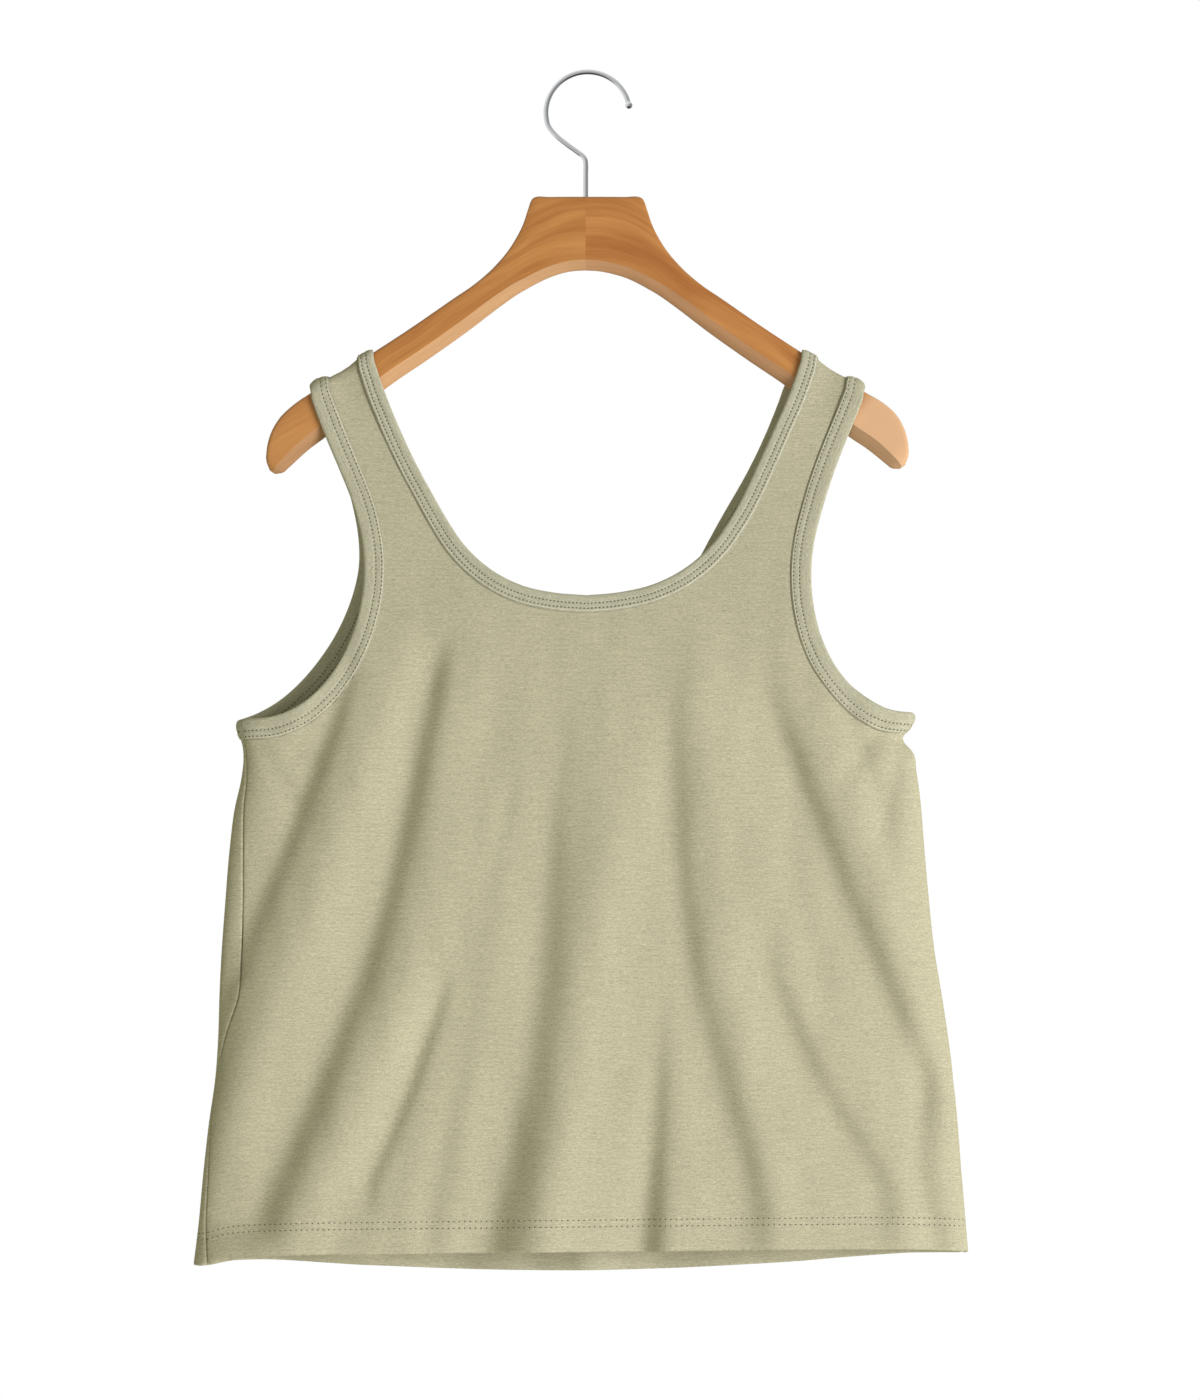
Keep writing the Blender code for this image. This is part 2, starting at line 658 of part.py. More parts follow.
def make_bore():
    mesh = bmesh.new()
    radius = (WIRE / 2 + BORE_GAP) * MM
    top = -78.0
    bottom = SHANK_END - BORE_GAP
    bmesh.ops.create_cone(
        mesh,
        cap_ends=True,
        segments=16,
        radius1=radius,
        radius2=radius,
        depth=(top - bottom) * MM,
    )
    bmesh.ops.translate(mesh, verts=mesh.verts, vec=(SEAM_X * MM, 0.0, (top + bottom) / 2 * MM))
    thing = add_object("shank_bore", mesh, bpy.data.materials["hanger_wood"], "cutters")
    thing.hide_render = True
    thing.display_type = "WIRE"
    return thing


def make_hook(name, finish):
    """A wire swept along the hook, swelling into a ball at its tip."""
    tip = math.radians(10.5)
    arc = np.linspace(tip, math.radians(196.5), 27)
    x = HOOK_CENTRE[0] + HOOK_RADIUS * np.cos(arc)
    z = HOOK_CENTRE[1] + HOOK_RADIUS * np.sin(arc)
    bends = np.array(WIRE_BENDS)
    rows = np.concatenate([np.stack([x, z], axis=1)[-3:], bends])
    knots = lengths(rows)
    smooth = through(knots, rows, np.linspace(knots[2], knots[-1], 16))[1:]
    end = np.array([[SEAM_X, -80.0], [SEAM_X, SHANK_END]])
    path = np.concatenate([np.stack([x, z], axis=1), smooth, end])
    ball = BALL / 2
    turns = np.linspace(0.12, 0.76, 7) * math.pi
    step = ball * (1 - np.cos(turns))
    start = tip - ball / HOOK_RADIUS
    ball_arc = start + step / HOOK_RADIUS
    ball_x = HOOK_CENTRE[0] + HOOK_RADIUS * np.cos(ball_arc)
    ball_z = HOOK_CENTRE[1] + HOOK_RADIUS * np.sin(ball_arc)
    ball_path = np.stack([ball_x, ball_z], axis=1)
    keep = lengths(path) > step[-1] - ball + 0.8
    path = np.concatenate([ball_path, path[keep]])
    size = np.concatenate([ball * np.sin(turns) / (WIRE / 2), np.ones(keep.sum())])
    curve = bpy.data.curves.new(name, "CURVE")
    curve.dimensions = "3D"
    curve.bevel_depth = WIRE / 2 * MM
    curve.bevel_resolution = 3
    curve.use_fill_caps = True
    line = curve.splines.new("POLY")
    line.points.add(len(path) - 1)
    for point, place_xz, radius in zip(line.points, path, size):
        point.co = (place_xz[0] * MM, 0.0, place_xz[1] * MM, 1.0)
        point.radius = radius
    thing = bpy.data.objects.new(name, curve)
    bpy.data.collections["tank_top"].objects.link(thing)
    curve.materials.append(finish)
    return thing


def main():
    clear_scene()
    add_collection("tank_top")
    add_collection("cutters")
    sage = (0.49, 0.46, 0.32)
    front_cloth = material("front_jersey", sage, 0.95)
    back_cloth = material("back_jersey", (0.47, 0.44, 0.30), 0.95)
    neck_cloth = material("neck_binding_jersey", (0.50, 0.47, 0.34), 0.95)
    arm_cloth = material("armhole_binding_jersey", (0.48, 0.45, 0.32), 0.95)
    wood = material("hanger_wood", (0.48, 0.21, 0.07), 0.45)
    steel = material("hook_steel", (0.75, 0.75, 0.77), 0.2, 1.0)
    make_panel("front_panel", True, front_cloth)
    make_panel("back_panel", False, back_cloth)
    make_neck_binding("neck_binding", neck_cloth)
    make_arm_binding("armhole_binding_left", -1, arm_cloth)
    make_arm_binding("armhole_binding_right", 1, arm_cloth)
    cutter = make_bore()
    make_arm("hanger_left", -1, wood, cutter)
    make_arm("hanger_right", 1, wood, cutter)
    make_hook("hook", steel)


main()
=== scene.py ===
"""Dresses the tank top and its hanger: jersey, seams, stitches, wood, wire and studio.

Sizes are in millimetres and become metres where points are placed, but the studio's are
in metres. The origin is the seat of the hook, +Z is up, +X is the viewer's right and the
garment's front faces -Y.
"""

import logging
import math
from collections.abc import Sequence
from dataclasses import dataclass, field
from enum import Enum
from typing import NamedTuple

import bmesh
import bpy
import numpy as np
from mathutils import Matrix, Vector


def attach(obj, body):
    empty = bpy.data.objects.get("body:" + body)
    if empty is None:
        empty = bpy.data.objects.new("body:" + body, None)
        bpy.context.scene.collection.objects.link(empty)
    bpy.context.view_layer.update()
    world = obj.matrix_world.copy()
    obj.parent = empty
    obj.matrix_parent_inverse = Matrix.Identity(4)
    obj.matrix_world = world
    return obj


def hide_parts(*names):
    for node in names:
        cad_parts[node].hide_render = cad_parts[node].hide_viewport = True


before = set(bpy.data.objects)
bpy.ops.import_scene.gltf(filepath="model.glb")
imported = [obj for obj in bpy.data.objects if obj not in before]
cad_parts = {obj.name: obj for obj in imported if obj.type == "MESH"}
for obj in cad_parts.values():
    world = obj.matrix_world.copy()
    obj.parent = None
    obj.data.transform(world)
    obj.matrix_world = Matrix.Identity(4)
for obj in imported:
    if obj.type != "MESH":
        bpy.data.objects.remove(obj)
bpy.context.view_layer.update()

logging.basicConfig(level=logging.INFO, format="%(name)s: %(message)s")
log = logging.getLogger("tank_top")

# A millimetre, and how near two points merge, in metres
MM = 0.001
MERGE = 1e-6
FINE_MERGE = 1e-7

# Flat sizes of the garment
PIT_Z = -410.5
STRAP_OUTER = 177.0
NECK_BINDING = 10.6
ARM_BINDING = 12.5
BACK_SCOOP = 1.08
HEM_Z = -743.5

# How the garment hangs
FRONT_HEM_RISE = 2.6
BACK_HEM_DROP = 8.7
BACK_HEM_HALF = 200.0
LEFT_CORNER = -236.0
LEFT_CORNER_DROP = 3.2
LEFT_CORNER_WIDE = 12.0
RIGHT_STRAP_TWIST = 6.2
MOST_TURN = 4.0
TURN_LEAN = 0.2
TILT = 0.0105
FOLD_FADE = 55.0
FOLD_SHADE = 0.7
BACK_PHASE = 2.1

# Straps over the wood
STRAP_DEPTH = 8.3
STRAP_LIFT = 3.1
STRAP_ROUND = 3.0
STRAP_QUARTER = 1.72 * STRAP_DEPTH
STRAP_SAG = 1.3
STRAPS_ABOVE = -230.0

# Depths below the hook's seat between which a form comes in
WAVES_COME = (250.0, 420.0)
ROUND_COMES = (255.0, 380.0)
TILT_COMES = (240.0, 400.0)
HEM_COMES = (560.0, -HEM_Z)
TURN_COMES = (225.0, 285.0)
TWIST_GOES = (285.0, 345.0)
PIT_COMES = (385.0, 402.0)

# Cloth and seams
JERSEY = 0.8
TUCK = 3.0
SIDE_GAP = 0.3
SEAM_ROLL = 1.2
SEAM_ALLOWANCE = 5.0
SHOULDER_ALLOWANCE = 0.05
SHOULDER_SHORT = 0.1
HEM_ROLL = 1.05
HEM_TURN = 21.5
THREAD = 0.36
HEM_THREAD_SUNK = 0.06

# Bindings
BINDING_OUT = 0.8
BINDING_IN = 1.6
BINDING_OVER_WOOD = 0.5
STITCH_DIP = 0.26
STITCH_DIP_HALF = 0.55
EDGE_SWELL = 0.22
DITCH = 0.9
PIT_ROUND = 1.5
PUFF = 0.15

# Pitches of the stitches
HEM_PITCH = 3.3
NECK_PITCH = 2.4
ARM_PITCH = 2.6

# Hanger places that the cloth is fitted to
HANGER_X = -0.1
SEAM_X = -1.3
ARM_TOP = (114.0, -166.7)
ARM_SLOPE = 0.663

# Steps of the nets
NET_STEP = 3.4
BINDING_STEP = 2.0
QUARTER = np.linspace(0.0, math.pi / 2, 41)


class Face(Enum):
    """A side of the garment, with the sign of its y."""

    FRONT = -1.0
    BACK = 1.0


class Section(NamedTuple):
    """The body's section at a height, and how far each side seam lies in front of it."""

    z: float
    half_width: float
    centre: float
    depth: float
    middle: float
    seam_left: float
    seam_right: float


BODY = (
    Section(-170.0, 212.0, 0.0, STRAP_DEPTH, 0.0, 0.0, 0.0),
    Section(-208.0, 212.0, -0.2, STRAP_DEPTH, 0.0, 0.0, 0.0),
    Section(-240.0, 212.0, -0.7, STRAP_DEPTH, 0.0, 1.2, -1.2),
    Section(-314.0, 211.5, -3.4, 12.5, -1.0, 3.7, -3.7),
    Section(-380.0, 210.5, -5.9, 16.0, -1.5, 4.0, -4.0),
    Section(-410.0, 211.0, -7.0, 17.0, -1.5, 4.0, -4.0),
    Section(-418.0, 209.4, -7.8, 17.0, -1.5, 4.0, -4.0),
    Section(-427.0, 205.3, -9.3, 17.1, -1.5, 4.3, -4.0),
    Section(-435.0, 208.2, -5.8, 17.3, -1.5, 5.0, -4.0),
    Section(-447.0, 209.8, -5.4, 17.4, -1.6, 7.0, -4.5),
    Section(-466.0, 213.0, -6.2, 17.6, -1.7, 10.0, -5.0),
    Section(-490.0, 215.2, -6.7, 18.0, -2.0, 13.0, -6.0),
    Section(-525.0, 217.8, -6.6, 18.3, -2.0, 16.0, -7.0),
    Section(-560.0, 220.6, -5.9, 18.6, -2.0, 17.5, -8.0),
    Section(-583.0, 222.8, -4.5, 18.8, -2.0, 17.0, -6.5),
    Section(-605.0, 224.6, -3.1, 19.0, -2.0, 9.5, -3.8),
    Section(-630.0, 226.8, -2.3, 19.2, -2.0, 4.0, -0.5),
    Section(-660.0, 230.2, -2.9, 19.5, -2.0, 5.0, 2.2),
    Section(-690.0, 232.8, -3.4, 20.0, -2.0, 7.5, 1.0),
    Section(-718.0, 235.0, -3.5, 20.2, -2.0, 9.0, -4.0),
    Section(-748.0, 237.8, -4.1, 20.5, -2.0, 15.0, -6.0),
)


class Armhole(NamedTuple):
    """Where an armhole is narrowest, how square its lower curve is, and its level run."""

    half: float
    z: float
    power: float
    level: float


ARMHOLES = {
    Face.FRONT: Armhole(139.2, -322.0, 2.0, 14.0),
    Face.BACK: Armhole(136.6, -312.0, 1.7, 0.5),
}

NECKLINE = (
    (0.0, -336.2),
    (20.0, -334.4),
    (41.0, -329.5),
    (59.0, -320.3),
    (77.6, -303.4),
    (88.2, -287.8),
    (100.0, -266.0),
    (114.8, -234.9),
    (127.7, -204.3),
    (137.8, -173.4),
)


class Fold(NamedTuple):
    """A soft fold, with its half width and height.

    Its three places, x and z, are on its right flank, FOLD_SHADE half widths from its
    middle, where a trough is shaded and a ridge is lit.
    """

    top: tuple[float, float]
    middle: tuple[float, float]
    low: tuple[float, float]
    wide_top: float
    wide_low: float
    high_top: float
    high_low: float
    skew: float = 0.0
    fade: float = FOLD_FADE


FRONT_FOLDS = (
    Fold((-143, -385), (-180, -487), (-217, -578), 10, 13, -6.5, -5.0, 0.4),
    Fold((-108, -380), (-161, -537), (-212, -665), 16, 20, 1.5, 4.0),
    Fold((-87, -370), (-122, -537), (-190, -719), 10, 17, -5.2, -7.2, 0.35, 20),
    Fold((-66, -370), (-91, -545), (-172, -750), 15, 22, 1.5, 5.0),
    Fold((-85, -580), (-106, -643), (-129, -700), 6, 8, -4.0, -3.8, 0.4, 26),
    Fold((-73, -625), (-83, -675), (-91, -725), 7, 8, -1.0, -1.8),
    Fold((-13, -445), (-24, -600), (-51, -750), 11, 18, -3.2, -7.8, 0.2),
    Fold((27, -463), (15, -570), (-14, -750), 14, 20, 2.0, 4.5),
    Fold((34, -437), (12, -560), (-6, -750), 30, 38, 2.2, 6.0),
    Fold((48, -618), (46, -665), (40, -750), 8, 11, -3.8, -7.6, 0.3),
    Fold((66, -620), (68, -690), (68, -750), 22, 28, 1.8, 4.4),
    Fold((57, -425), (66, -550), (108, -715), 10, 12, -3.6, -3.4, 0.3),
    Fold((77, -370), (96, -561), (128, -720), 16, 20, 1.7, 4.2),
    Fold((131, -470), (138, -535), (160, -595), 13, 13, -2.0, -1.6, 0.2, 30),
    Fold((115, -570), (145, -637), (187, -708), 9, 12, -3.8, -4.6, 0.35),
    Fold((117, -400), (170, -537), (214, -637), 11, 14, -5.2, -7.0, 0.45),
    Fold((150, -420), (183, -496), (215, -594), 13, 15, 2.2, 3.6),
    Fold((213, -640), (209, -690), (219, -740), 8, 9, -4.0, -4.4),
)
FRONT_CREASES = (
    Fold((-41, -447), (-47, -475), (-54, -507), 5, 6, -1.1, -0.6, 0.0, 22),
    Fold((-210, -566), (-218, -578), (-225, -596), 5, 6, -2.6, -1.6, 0.2, 14),
    Fold((-199, -425), (-188, -446), (-170, -474), 5, 7, -2.0, -0.8, 0.0, 16),
    Fold((-192, -418), (-172, -434), (-148, -449), 5, 6, -1.6, -0.6, 0.0, 14),
    Fold((-160, -392), (-170, -418), (-182, -446), 5, 6, -1.2, -0.6, 0.0, 18),
    Fold((192, -416), (178, -432), (162, -456), 5, 6, -2.6, -1.2, 0.0, 14),
    Fold((198, -428), (194, -452), (186, -488), 5, 7, -3.0, -1.6, 0.0, 16),
    Fold((167, -415), (180, -450), (195, -497), 6, 8, -2.2, -1.6, 0.0, 22),
)
BACK_FOLDS = (
    Fold((141, -390), (168, -490), (200, -600), 11, 13, -5.5, -4.5, 0.4),
    Fold((92, -372), (140, -540), (186, -680), 14, 20, 1.5, 4.0),
    Fold((66, -380), (102, -560), (142, -722), 11, 18, -3.5, -7.0, 0.3, 24),
    Fold((74, -590), (84, -650), (104, -706), 7, 9, -2.6, -3.0, 0.3, 26),
    Fold((26, -420), (38, -590), (62, -750), 14, 22, 1.5, 4.5),
    Fold((-8, -470), (4, -610), (12, -750), 11, 17, -3.0, -7.2, 0.2),
    Fold((-52, -400), (-58, -560), (-70, -750), 14, 21, 1.5, 4.5),
    Fold((-84, -400), (-104, -570), (-130, -724), 12, 18, -3.5, -7.0, 0.3, 24),
    Fold((-120, -430), (-148, -560), (-176, -730), 14, 19, 1.5, 4.0),
    Fold((-143, -395), (-170, -500), (-206, -640), 12, 14, -5.5, -5.0, 0.4),
)
BACK_CREASES = (
    Fold((38, -470), (44, -498), (50, -530), 6, 6, -0.8, -0.5, 0.0, 22),
    Fold((-196, -420), (-178, -440), (-156, -458), 5, 6, -1.0, -0.4, 0.0, 14),
    Fold((196, -420), (182, -440), (160, -462), 5, 6, -1.0, -0.4, 0.0, 14),
    Fold((204, -432), (196, -462), (186, -496), 5, 7, -1.0, -0.5, 0.0, 16),
)


class Wave(NamedTuple):
    """A slight wave: its lengths over two pi across and along, its start and height."""

    across: float
    along: float
    start: float
    high: float


WAVES = (
    Wave(9.5, 31.0, 0.4, 0.16),
    Wave(-7.1, 17.0, 1.9, 0.12),
    Wave(15.0, -23.0, 3.1, 0.18),
    Wave(5.6, 44.0, 4.4, 0.09),
    Wave(-21.0, 12.5, 5.2, 0.15),
    Wave(3.1, 26.0, 0.9, 0.060),
    Wave(-2.6, 19.0, 2.7, 0.045),
    Wave(4.3, -35.0, 5.8, 0.085),
    Wave(-3.7, -14.0, 1.2, 0.060),
)


class Wood(NamedTuple):
    """A section of one arm of the hanger, from its top edge to its keel."""

    top_x: float
    top_z: float
    keel_x: float
    keel_z: float
    chamfer: float
    half: float


ARM = (
    Wood(0.0, -80.3, 0.0, -126.9, 5.5, 6.0),
    Wood(12.0, -80.3, 9.5, -127.6, 5.5, 6.0),
    Wood(24.0, -80.4, 19.0, -129.9, 5.6, 6.0),
    Wood(33.0, -80.5, 27.0, -132.9, 5.9, 6.0),
    Wood(35.4, -82.3, 31.0, -134.9, 6.0, 6.0),
    Wood(37.4, -88.0, 34.0, -136.5, 6.2, 6.0),
    Wood(40.8, -98.4, 38.0, -138.8, 6.3, 6.0),
    Wood(48.7, -113.1, 43.5, -142.0, 6.4, 6.0),
    Wood(58.7, -125.4, 50.5, -146.9, 6.5, 6.0),
    Wood(69.8, -135.5, 59.5, -153.7, 6.6, 6.0),
    Wood(84.9, -146.2, 72.6, -164.0, 6.7, 6.0),
    Wood(114.0, -166.7, 102.2, -185.5, 6.8, 6.0),
    Wood(135.8, -181.2, 122.6, -199.6, 6.8, 6.0),
    Wood(156.0, -194.6, 140.0, -213.4, 6.8, 6.0),
    Wood(174.7, -206.9, 155.0, -225.9, 6.8, 6.0),
    Wood(185.2, -214.4, 165.0, -234.2, 6.8, 6.0),
    Wood(193.6, -222.9, 174.5, -241.4, 6.6, 6.0),
    Wood(199.0, -233.1, 182.0, -248.2, 6.2, 5.9),
    Wood(201.2, -243.4, 187.5, -253.4, 5.6, 5.6),
    Wood(201.1, -250.3, 191.6, -256.6, 4.6, 4.6),
    Wood(199.4, -254.6, 195.6, -257.2, 1.6, 2.6),
)

WIRE_BENDS = (
    (-20.4, -39.4),
    (-13.5, -45.3),
    (-6.9, -50.2),
    (-3.1, -53.2),
    (-1.7, -55.3),
    (SEAM_X, -58.0),
    (SEAM_X, -64.0),
)


def ramp(value: np.ndarray, start: float, end: float) -> np.ndarray:
    """Rise smoothly from 0 to 1.

    Args:
        value: Numbers to read.
        start: Where the rise begins.
        end: Where it ends.

    Returns:
        The height of the rise at each number.
    """
    part = np.clip((value - start) / (end - start), 0.0, 1.0)
    return part * part * (3.0 - 2.0 * part)


def through(knots: Sequence[float], values: Sequence, at: np.ndarray) -> np.ndarray:
    """Read a smooth curve through values at rising knots.

    Args:
        knots: Rising places of the values.
        values: A number or a row of numbers for each knot.
        at: Places to read.

    Returns:
        A row for each place.
    """
    knots = np.asarray(knots, float)
    values = np.asarray(values, float).reshape(len(knots), -1)
    slopes = np.gradient(values, knots, axis=0)
    at = np.clip(np.atleast_1d(at), knots[0], knots[-1])
    index = np.clip(np.searchsorted(knots, at, side="right") - 1, 0, len(knots) - 2)
    step = (knots[index + 1] - knots[index])[:, None]
    part = (at - knots[index])[:, None] / step
    start = values[index] * (1 + 2 * part) + slopes[index] * step * part
    end = values[index + 1] * (3 - 2 * part) - slopes[index + 1] * step * (1 - part)
    return start * (1 - part) ** 2 + end * part**2


def lengths(line: np.ndarray) -> np.ndarray:
    """Measure a line.

    Args:
        line: Its points, in rows.

    Returns:
        The distance along it from its first point to each point.
    """
    steps = np.linalg.norm(np.diff(line, axis=0), axis=1)
    return np.concatenate([[0.0], np.cumsum(steps)])


def read(line: np.ndarray, at: np.ndarray) -> np.ndarray:
    """Points of a line at fractional places in it."""
    return np.stack([np.interp(at, np.arange(len(line)), part) for part in line.T], axis=1)


def even_places(line: np.ndarray, step: float) -> np.ndarray:
    """Space places evenly along a line.

    Args:
        line: Its points, in rows.
        step: About how far apart the places are.

    Returns:
        Fractional places in the line, for read.
    """
    along = lengths(line)
    count = max(2, round(along[-1] / step) + 1)
    return np.interp(np.linspace(0.0, along[-1], count), along, np.arange(len(line)))


def unit(rows: np.ndarray) -> np.ndarray:
    """Each row scaled to length 1."""
    return rows / np.linalg.norm(rows, axis=1)[:, None]


@dataclass
class Drape:
    """Turns flat places on the garment into points in space.

    A flat place is s, the distance round the body from a panel's centre, and z, the
    height. Near the shoulder z is the length of cloth as it turns over the wood.
    """

    folds: dict[Face, tuple[Fold, ...]] = field(
        default_factory=lambda: {
            Face.FRONT: FRONT_FOLDS + FRONT_CREASES,
            Face.BACK: BACK_FOLDS + BACK_CREASES,
        }
    )
    back_hem_curve: float = 1.3
    front_hem_square: int = 8
    folds_to_edge: float = 0.7
    high_on_strap: float = -165.0
    strap_bend: float = 0.95
    slant_reach: float = 45.0
    twist_below_top: tuple[float, float] = (6.0, 34.0)
    step_across: float = 0.4
    step_up: float = 0.05
    step_down: float = 0.35

    def body_at(self, z: np.ndarray) -> np.ndarray:
        """The columns of BODY after z, read at each height."""
        return through([-row.z for row in BODY], [row[1:] for row in BODY], -z).T

    def left_of_depth(self, angle: np.ndarray) -> np.ndarray:
        """The share of a section's depth at an angle round it, from 1 to -1."""
        sine = np.sin(angle)
        return np.cos(angle) * np.sqrt(1 + sine**2 + sine**4)

    def arcs(self, half_width: np.ndarray, depth: np.ndarray) -> np.ndarray:
        """Measure a quarter of each section.

        Args:
            half_width: The sections' half widths.
            depth: Their half depths.

        Returns:
            A row for each section: distances from its centre to the angles of QUARTER.
        """
        x = np.outer(half_width, np.sin(QUARTER))
        y = np.outer(depth, self.left_of_depth(QUARTER))
        steps = np.hypot(np.diff(x), np.diff(y))
        return np.concatenate([np.zeros((len(x), 1)), np.cumsum(steps, axis=1)], axis=1)

    def reach(self, z: np.ndarray) -> np.ndarray:
        """The distance along the cloth from the centre to the silhouette."""
        half_width, _, depth, _, _, _ = self.body_at(z)
        return self.arcs(half_width, depth)[:, -1]

    def fold_height(self, face: Face, x: np.ndarray, z: np.ndarray) -> np.ndarray:
        """Add up the folds and the slight waves.

        Args:
            face: The panel.
            x: Distances from the garment's middle.
            z: Flat heights.

        Returns:
            How far the cloth is lifted off its section at each place.
        """
        height = np.zeros_like(x)
        for fold in self.folds[face]:
            points = (fold.top, fold.middle, fold.low)
            knots = [-point[1] for point in points]
            line = through(knots, [point[0] for point in points], -z)[:, 0]
            slope = (fold.low[0] - fold.top[0]) / (fold.top[1] - fold.low[1])
            along = np.clip((-z - knots[0]) / (knots[2] - knots[0]), 0.0, 1.0)
            wide = fold.wide_top + (fold.wide_low - fold.wide_top) * along
            high = fold.high_top + (fold.high_low - fold.high_top) * along
            there = ramp(-z, knots[0] - fold.fade, knots[0] + fold.fade)
            there = there * (1 - ramp(-z, knots[2], knots[2] + fold.fade))
            wide = wide * math.hypot(1.0, slope)
            across = (x - line) / wide + FOLD_SHADE
            across = across * (1 + fold.skew * np.tanh(across))
            height += high * there * np.exp(-(across**2))
        return height + self.unevenness(face, x, z)

    def unevenness(self, face: Face, x: np.ndarray, z: np.ndarray) -> np.ndarray:
        """Add slight waves of several sizes, as in cloth that has been worn and washed.

        Args:
            face: The panel, whose waves start at a place of their own.
            x: Distances from the garment's middle.
            z: Flat heights.

        Returns:
            The waves' height at each place.
        """
        phase = 0.0 if face is Face.FRONT else BACK_PHASE
        height = np.zeros_like(x)
        for wave in WAVES:
            height += wave.high * np.sin(x / wave.across + z / wave.along + wave.start + phase)
        return height * ramp(-z, *WAVES_COME)

    def hem_drop(self, x: np.ndarray, outward: np.ndarray) -> np.ndarray:
        """Bend the hem: up in front, down behind and at its left corner.

        Args:
            x: Distances from the garment's middle.
            outward: -1 for places on the front, 1 for places on the back.

        Returns:
            How far the hem rises at each place.
        """
        part = np.clip(np.abs(x) / BACK_HEM_HALF, 0.0, 1.0)
        behind = -BACK_HEM_DROP * (1 - part**2) ** self.back_hem_curve
        part = np.clip(np.abs(x) / -LEFT_CORNER, 0.0, 1.0)
        before = FRONT_HEM_RISE * (1 - part**self.front_hem_square)
        corner = LEFT_CORNER_DROP * np.exp(-(((x - LEFT_CORNER) / LEFT_CORNER_WIDE) ** 2))
        return np.where(outward < 0, before, behind) - corner

    def wood_top(self, x: np.ndarray) -> np.ndarray:
        """The height of the arms' upper edge."""
        return ARM_TOP[1] - ARM_SLOPE * (np.abs(x - HANGER_X) - ARM_TOP[0])

    def place(self, face: Face, s: np.ndarray, z: np.ndarray) -> np.ndarray:
        """Find points of the cloth's outer face.

        Args:
            face: The panel whose centre s is measured from.
            s: Distances round the body, past the silhouette on to the other side.
            z: Flat heights.

        Returns:
            A row of x, y and z for each place, in millimetres.
        """
        s, z = (np.ravel(part).astype(float) for part in np.broadcast_arrays(s, z))
        half_width, centre, depth, middle, _, _ = self.body_at(z)
        arcs = self.arcs(half_width, depth)
        quarter = arcs[:, -1]
        past = np.abs(s) > quarter
        folded = np.where(past, 2 * quarter - np.abs(s), np.abs(s))
        rows = np.arange(len(s))
        index = np.clip((arcs <= folded[:, None]).sum(axis=1) - 1, 0, len(QUARTER) - 2)
        part = (folded - arcs[rows, index]) / (arcs[rows, index + 1] - arcs[rows, index])
        angle = QUARTER[index] + part * QUARTER[1]
        angle = np.where(past, math.pi - angle, angle)
        x = centre + half_width * np.sin(angle) * np.sign(s)
        left = self.left_of_depth(angle)
        close = ramp(-z, *ROUND_COMES)
        share = np.where(left < 0, -1.0, 1.0) * (1 - close * (1 - np.abs(left)))
        outward = np.where(past, -face.value, face.value)
        front_height = self.fold_height(Face.FRONT, x, z)
        back_height = self.fold_height(Face.BACK, x, z)
        height = np.where(outward < 0, front_height, back_height)
        lifted = outward * height * np.abs(left) ** self.folds_to_edge
        y = middle + face.value * share * depth + lifted
        level = z + self.hem_drop(x, outward) * ramp(-z, *HEM_COMES)
        level += TILT * x * ramp(-z, *TILT_COMES)
        start = self.wood_top(x) + STRAP_LIFT - STRAP_DEPTH
        turn = np.clip((z - start) / STRAP_QUARTER, 0.0, 1.0) * math.pi / 2
        over = z > start
        x = x - np.sign(x) * TURN_LEAN * np.clip(z - start, 0.0, STRAP_QUARTER)
        # The lean has moved x, so the wood's height is read again
        start = self.wood_top(x) + STRAP_LIFT - STRAP_DEPTH
        power = 2.0 / STRAP_ROUND
        around = STRAP_DEPTH * np.cos(turn).clip(0.0) ** power
        y = np.where(over, face.value * around, y)
        risen = start + STRAP_DEPTH * np.sin(turn).clip(0.0) ** power
        level = np.where(over, risen, level)
        return np.stack([x, y, level], axis=1)

    def frame_at(
        self, face: Face, s: np.ndarray, z: np.ndarray
    ) -> tuple[np.ndarray, np.ndarray, np.ndarray]:
        """Find how the cloth lies at flat places.

        Args:
            face: The panel whose centre s is measured from.
            s: Distances round the body.
            z: Flat heights.

        Returns:
            Points, outward normals and directions of rising s.
        """
        points = self.place(face, s, z)
        step, up, down = self.step_across, self.step_up, self.step_down
        across = unit(self.place(face, s + step, z) - self.place(face, s - step, z))
        along = self.place(face, s, z + up) - self.place(face, s, z - down)
        normals = np.cross(across, unit(along)) * -face.value
        return points, unit(normals), across

    def shoulder_flat(self, x: np.ndarray) -> np.ndarray:
        """The flat height at which the cloth reaches the top of the wood."""
        return self.wood_top(x) + STRAP_LIFT - STRAP_DEPTH + STRAP_QUARTER

    def top_at(self, face: Face, s: float) -> float:
        """Find where the cloth starts to roll in at the shoulder seam.

        Args:
            face: The panel.
            s: The distance round the body from its centre.

        Returns:
            The flat height.
        """
        x = self.place(face, np.array([s]), np.array([self.high_on_strap]))[0, 0]
        x += math.copysign(TURN_LEAN * STRAP_QUARTER, x)
        return float(self.shoulder_flat(np.array(x))) - SHOULDER_SHORT

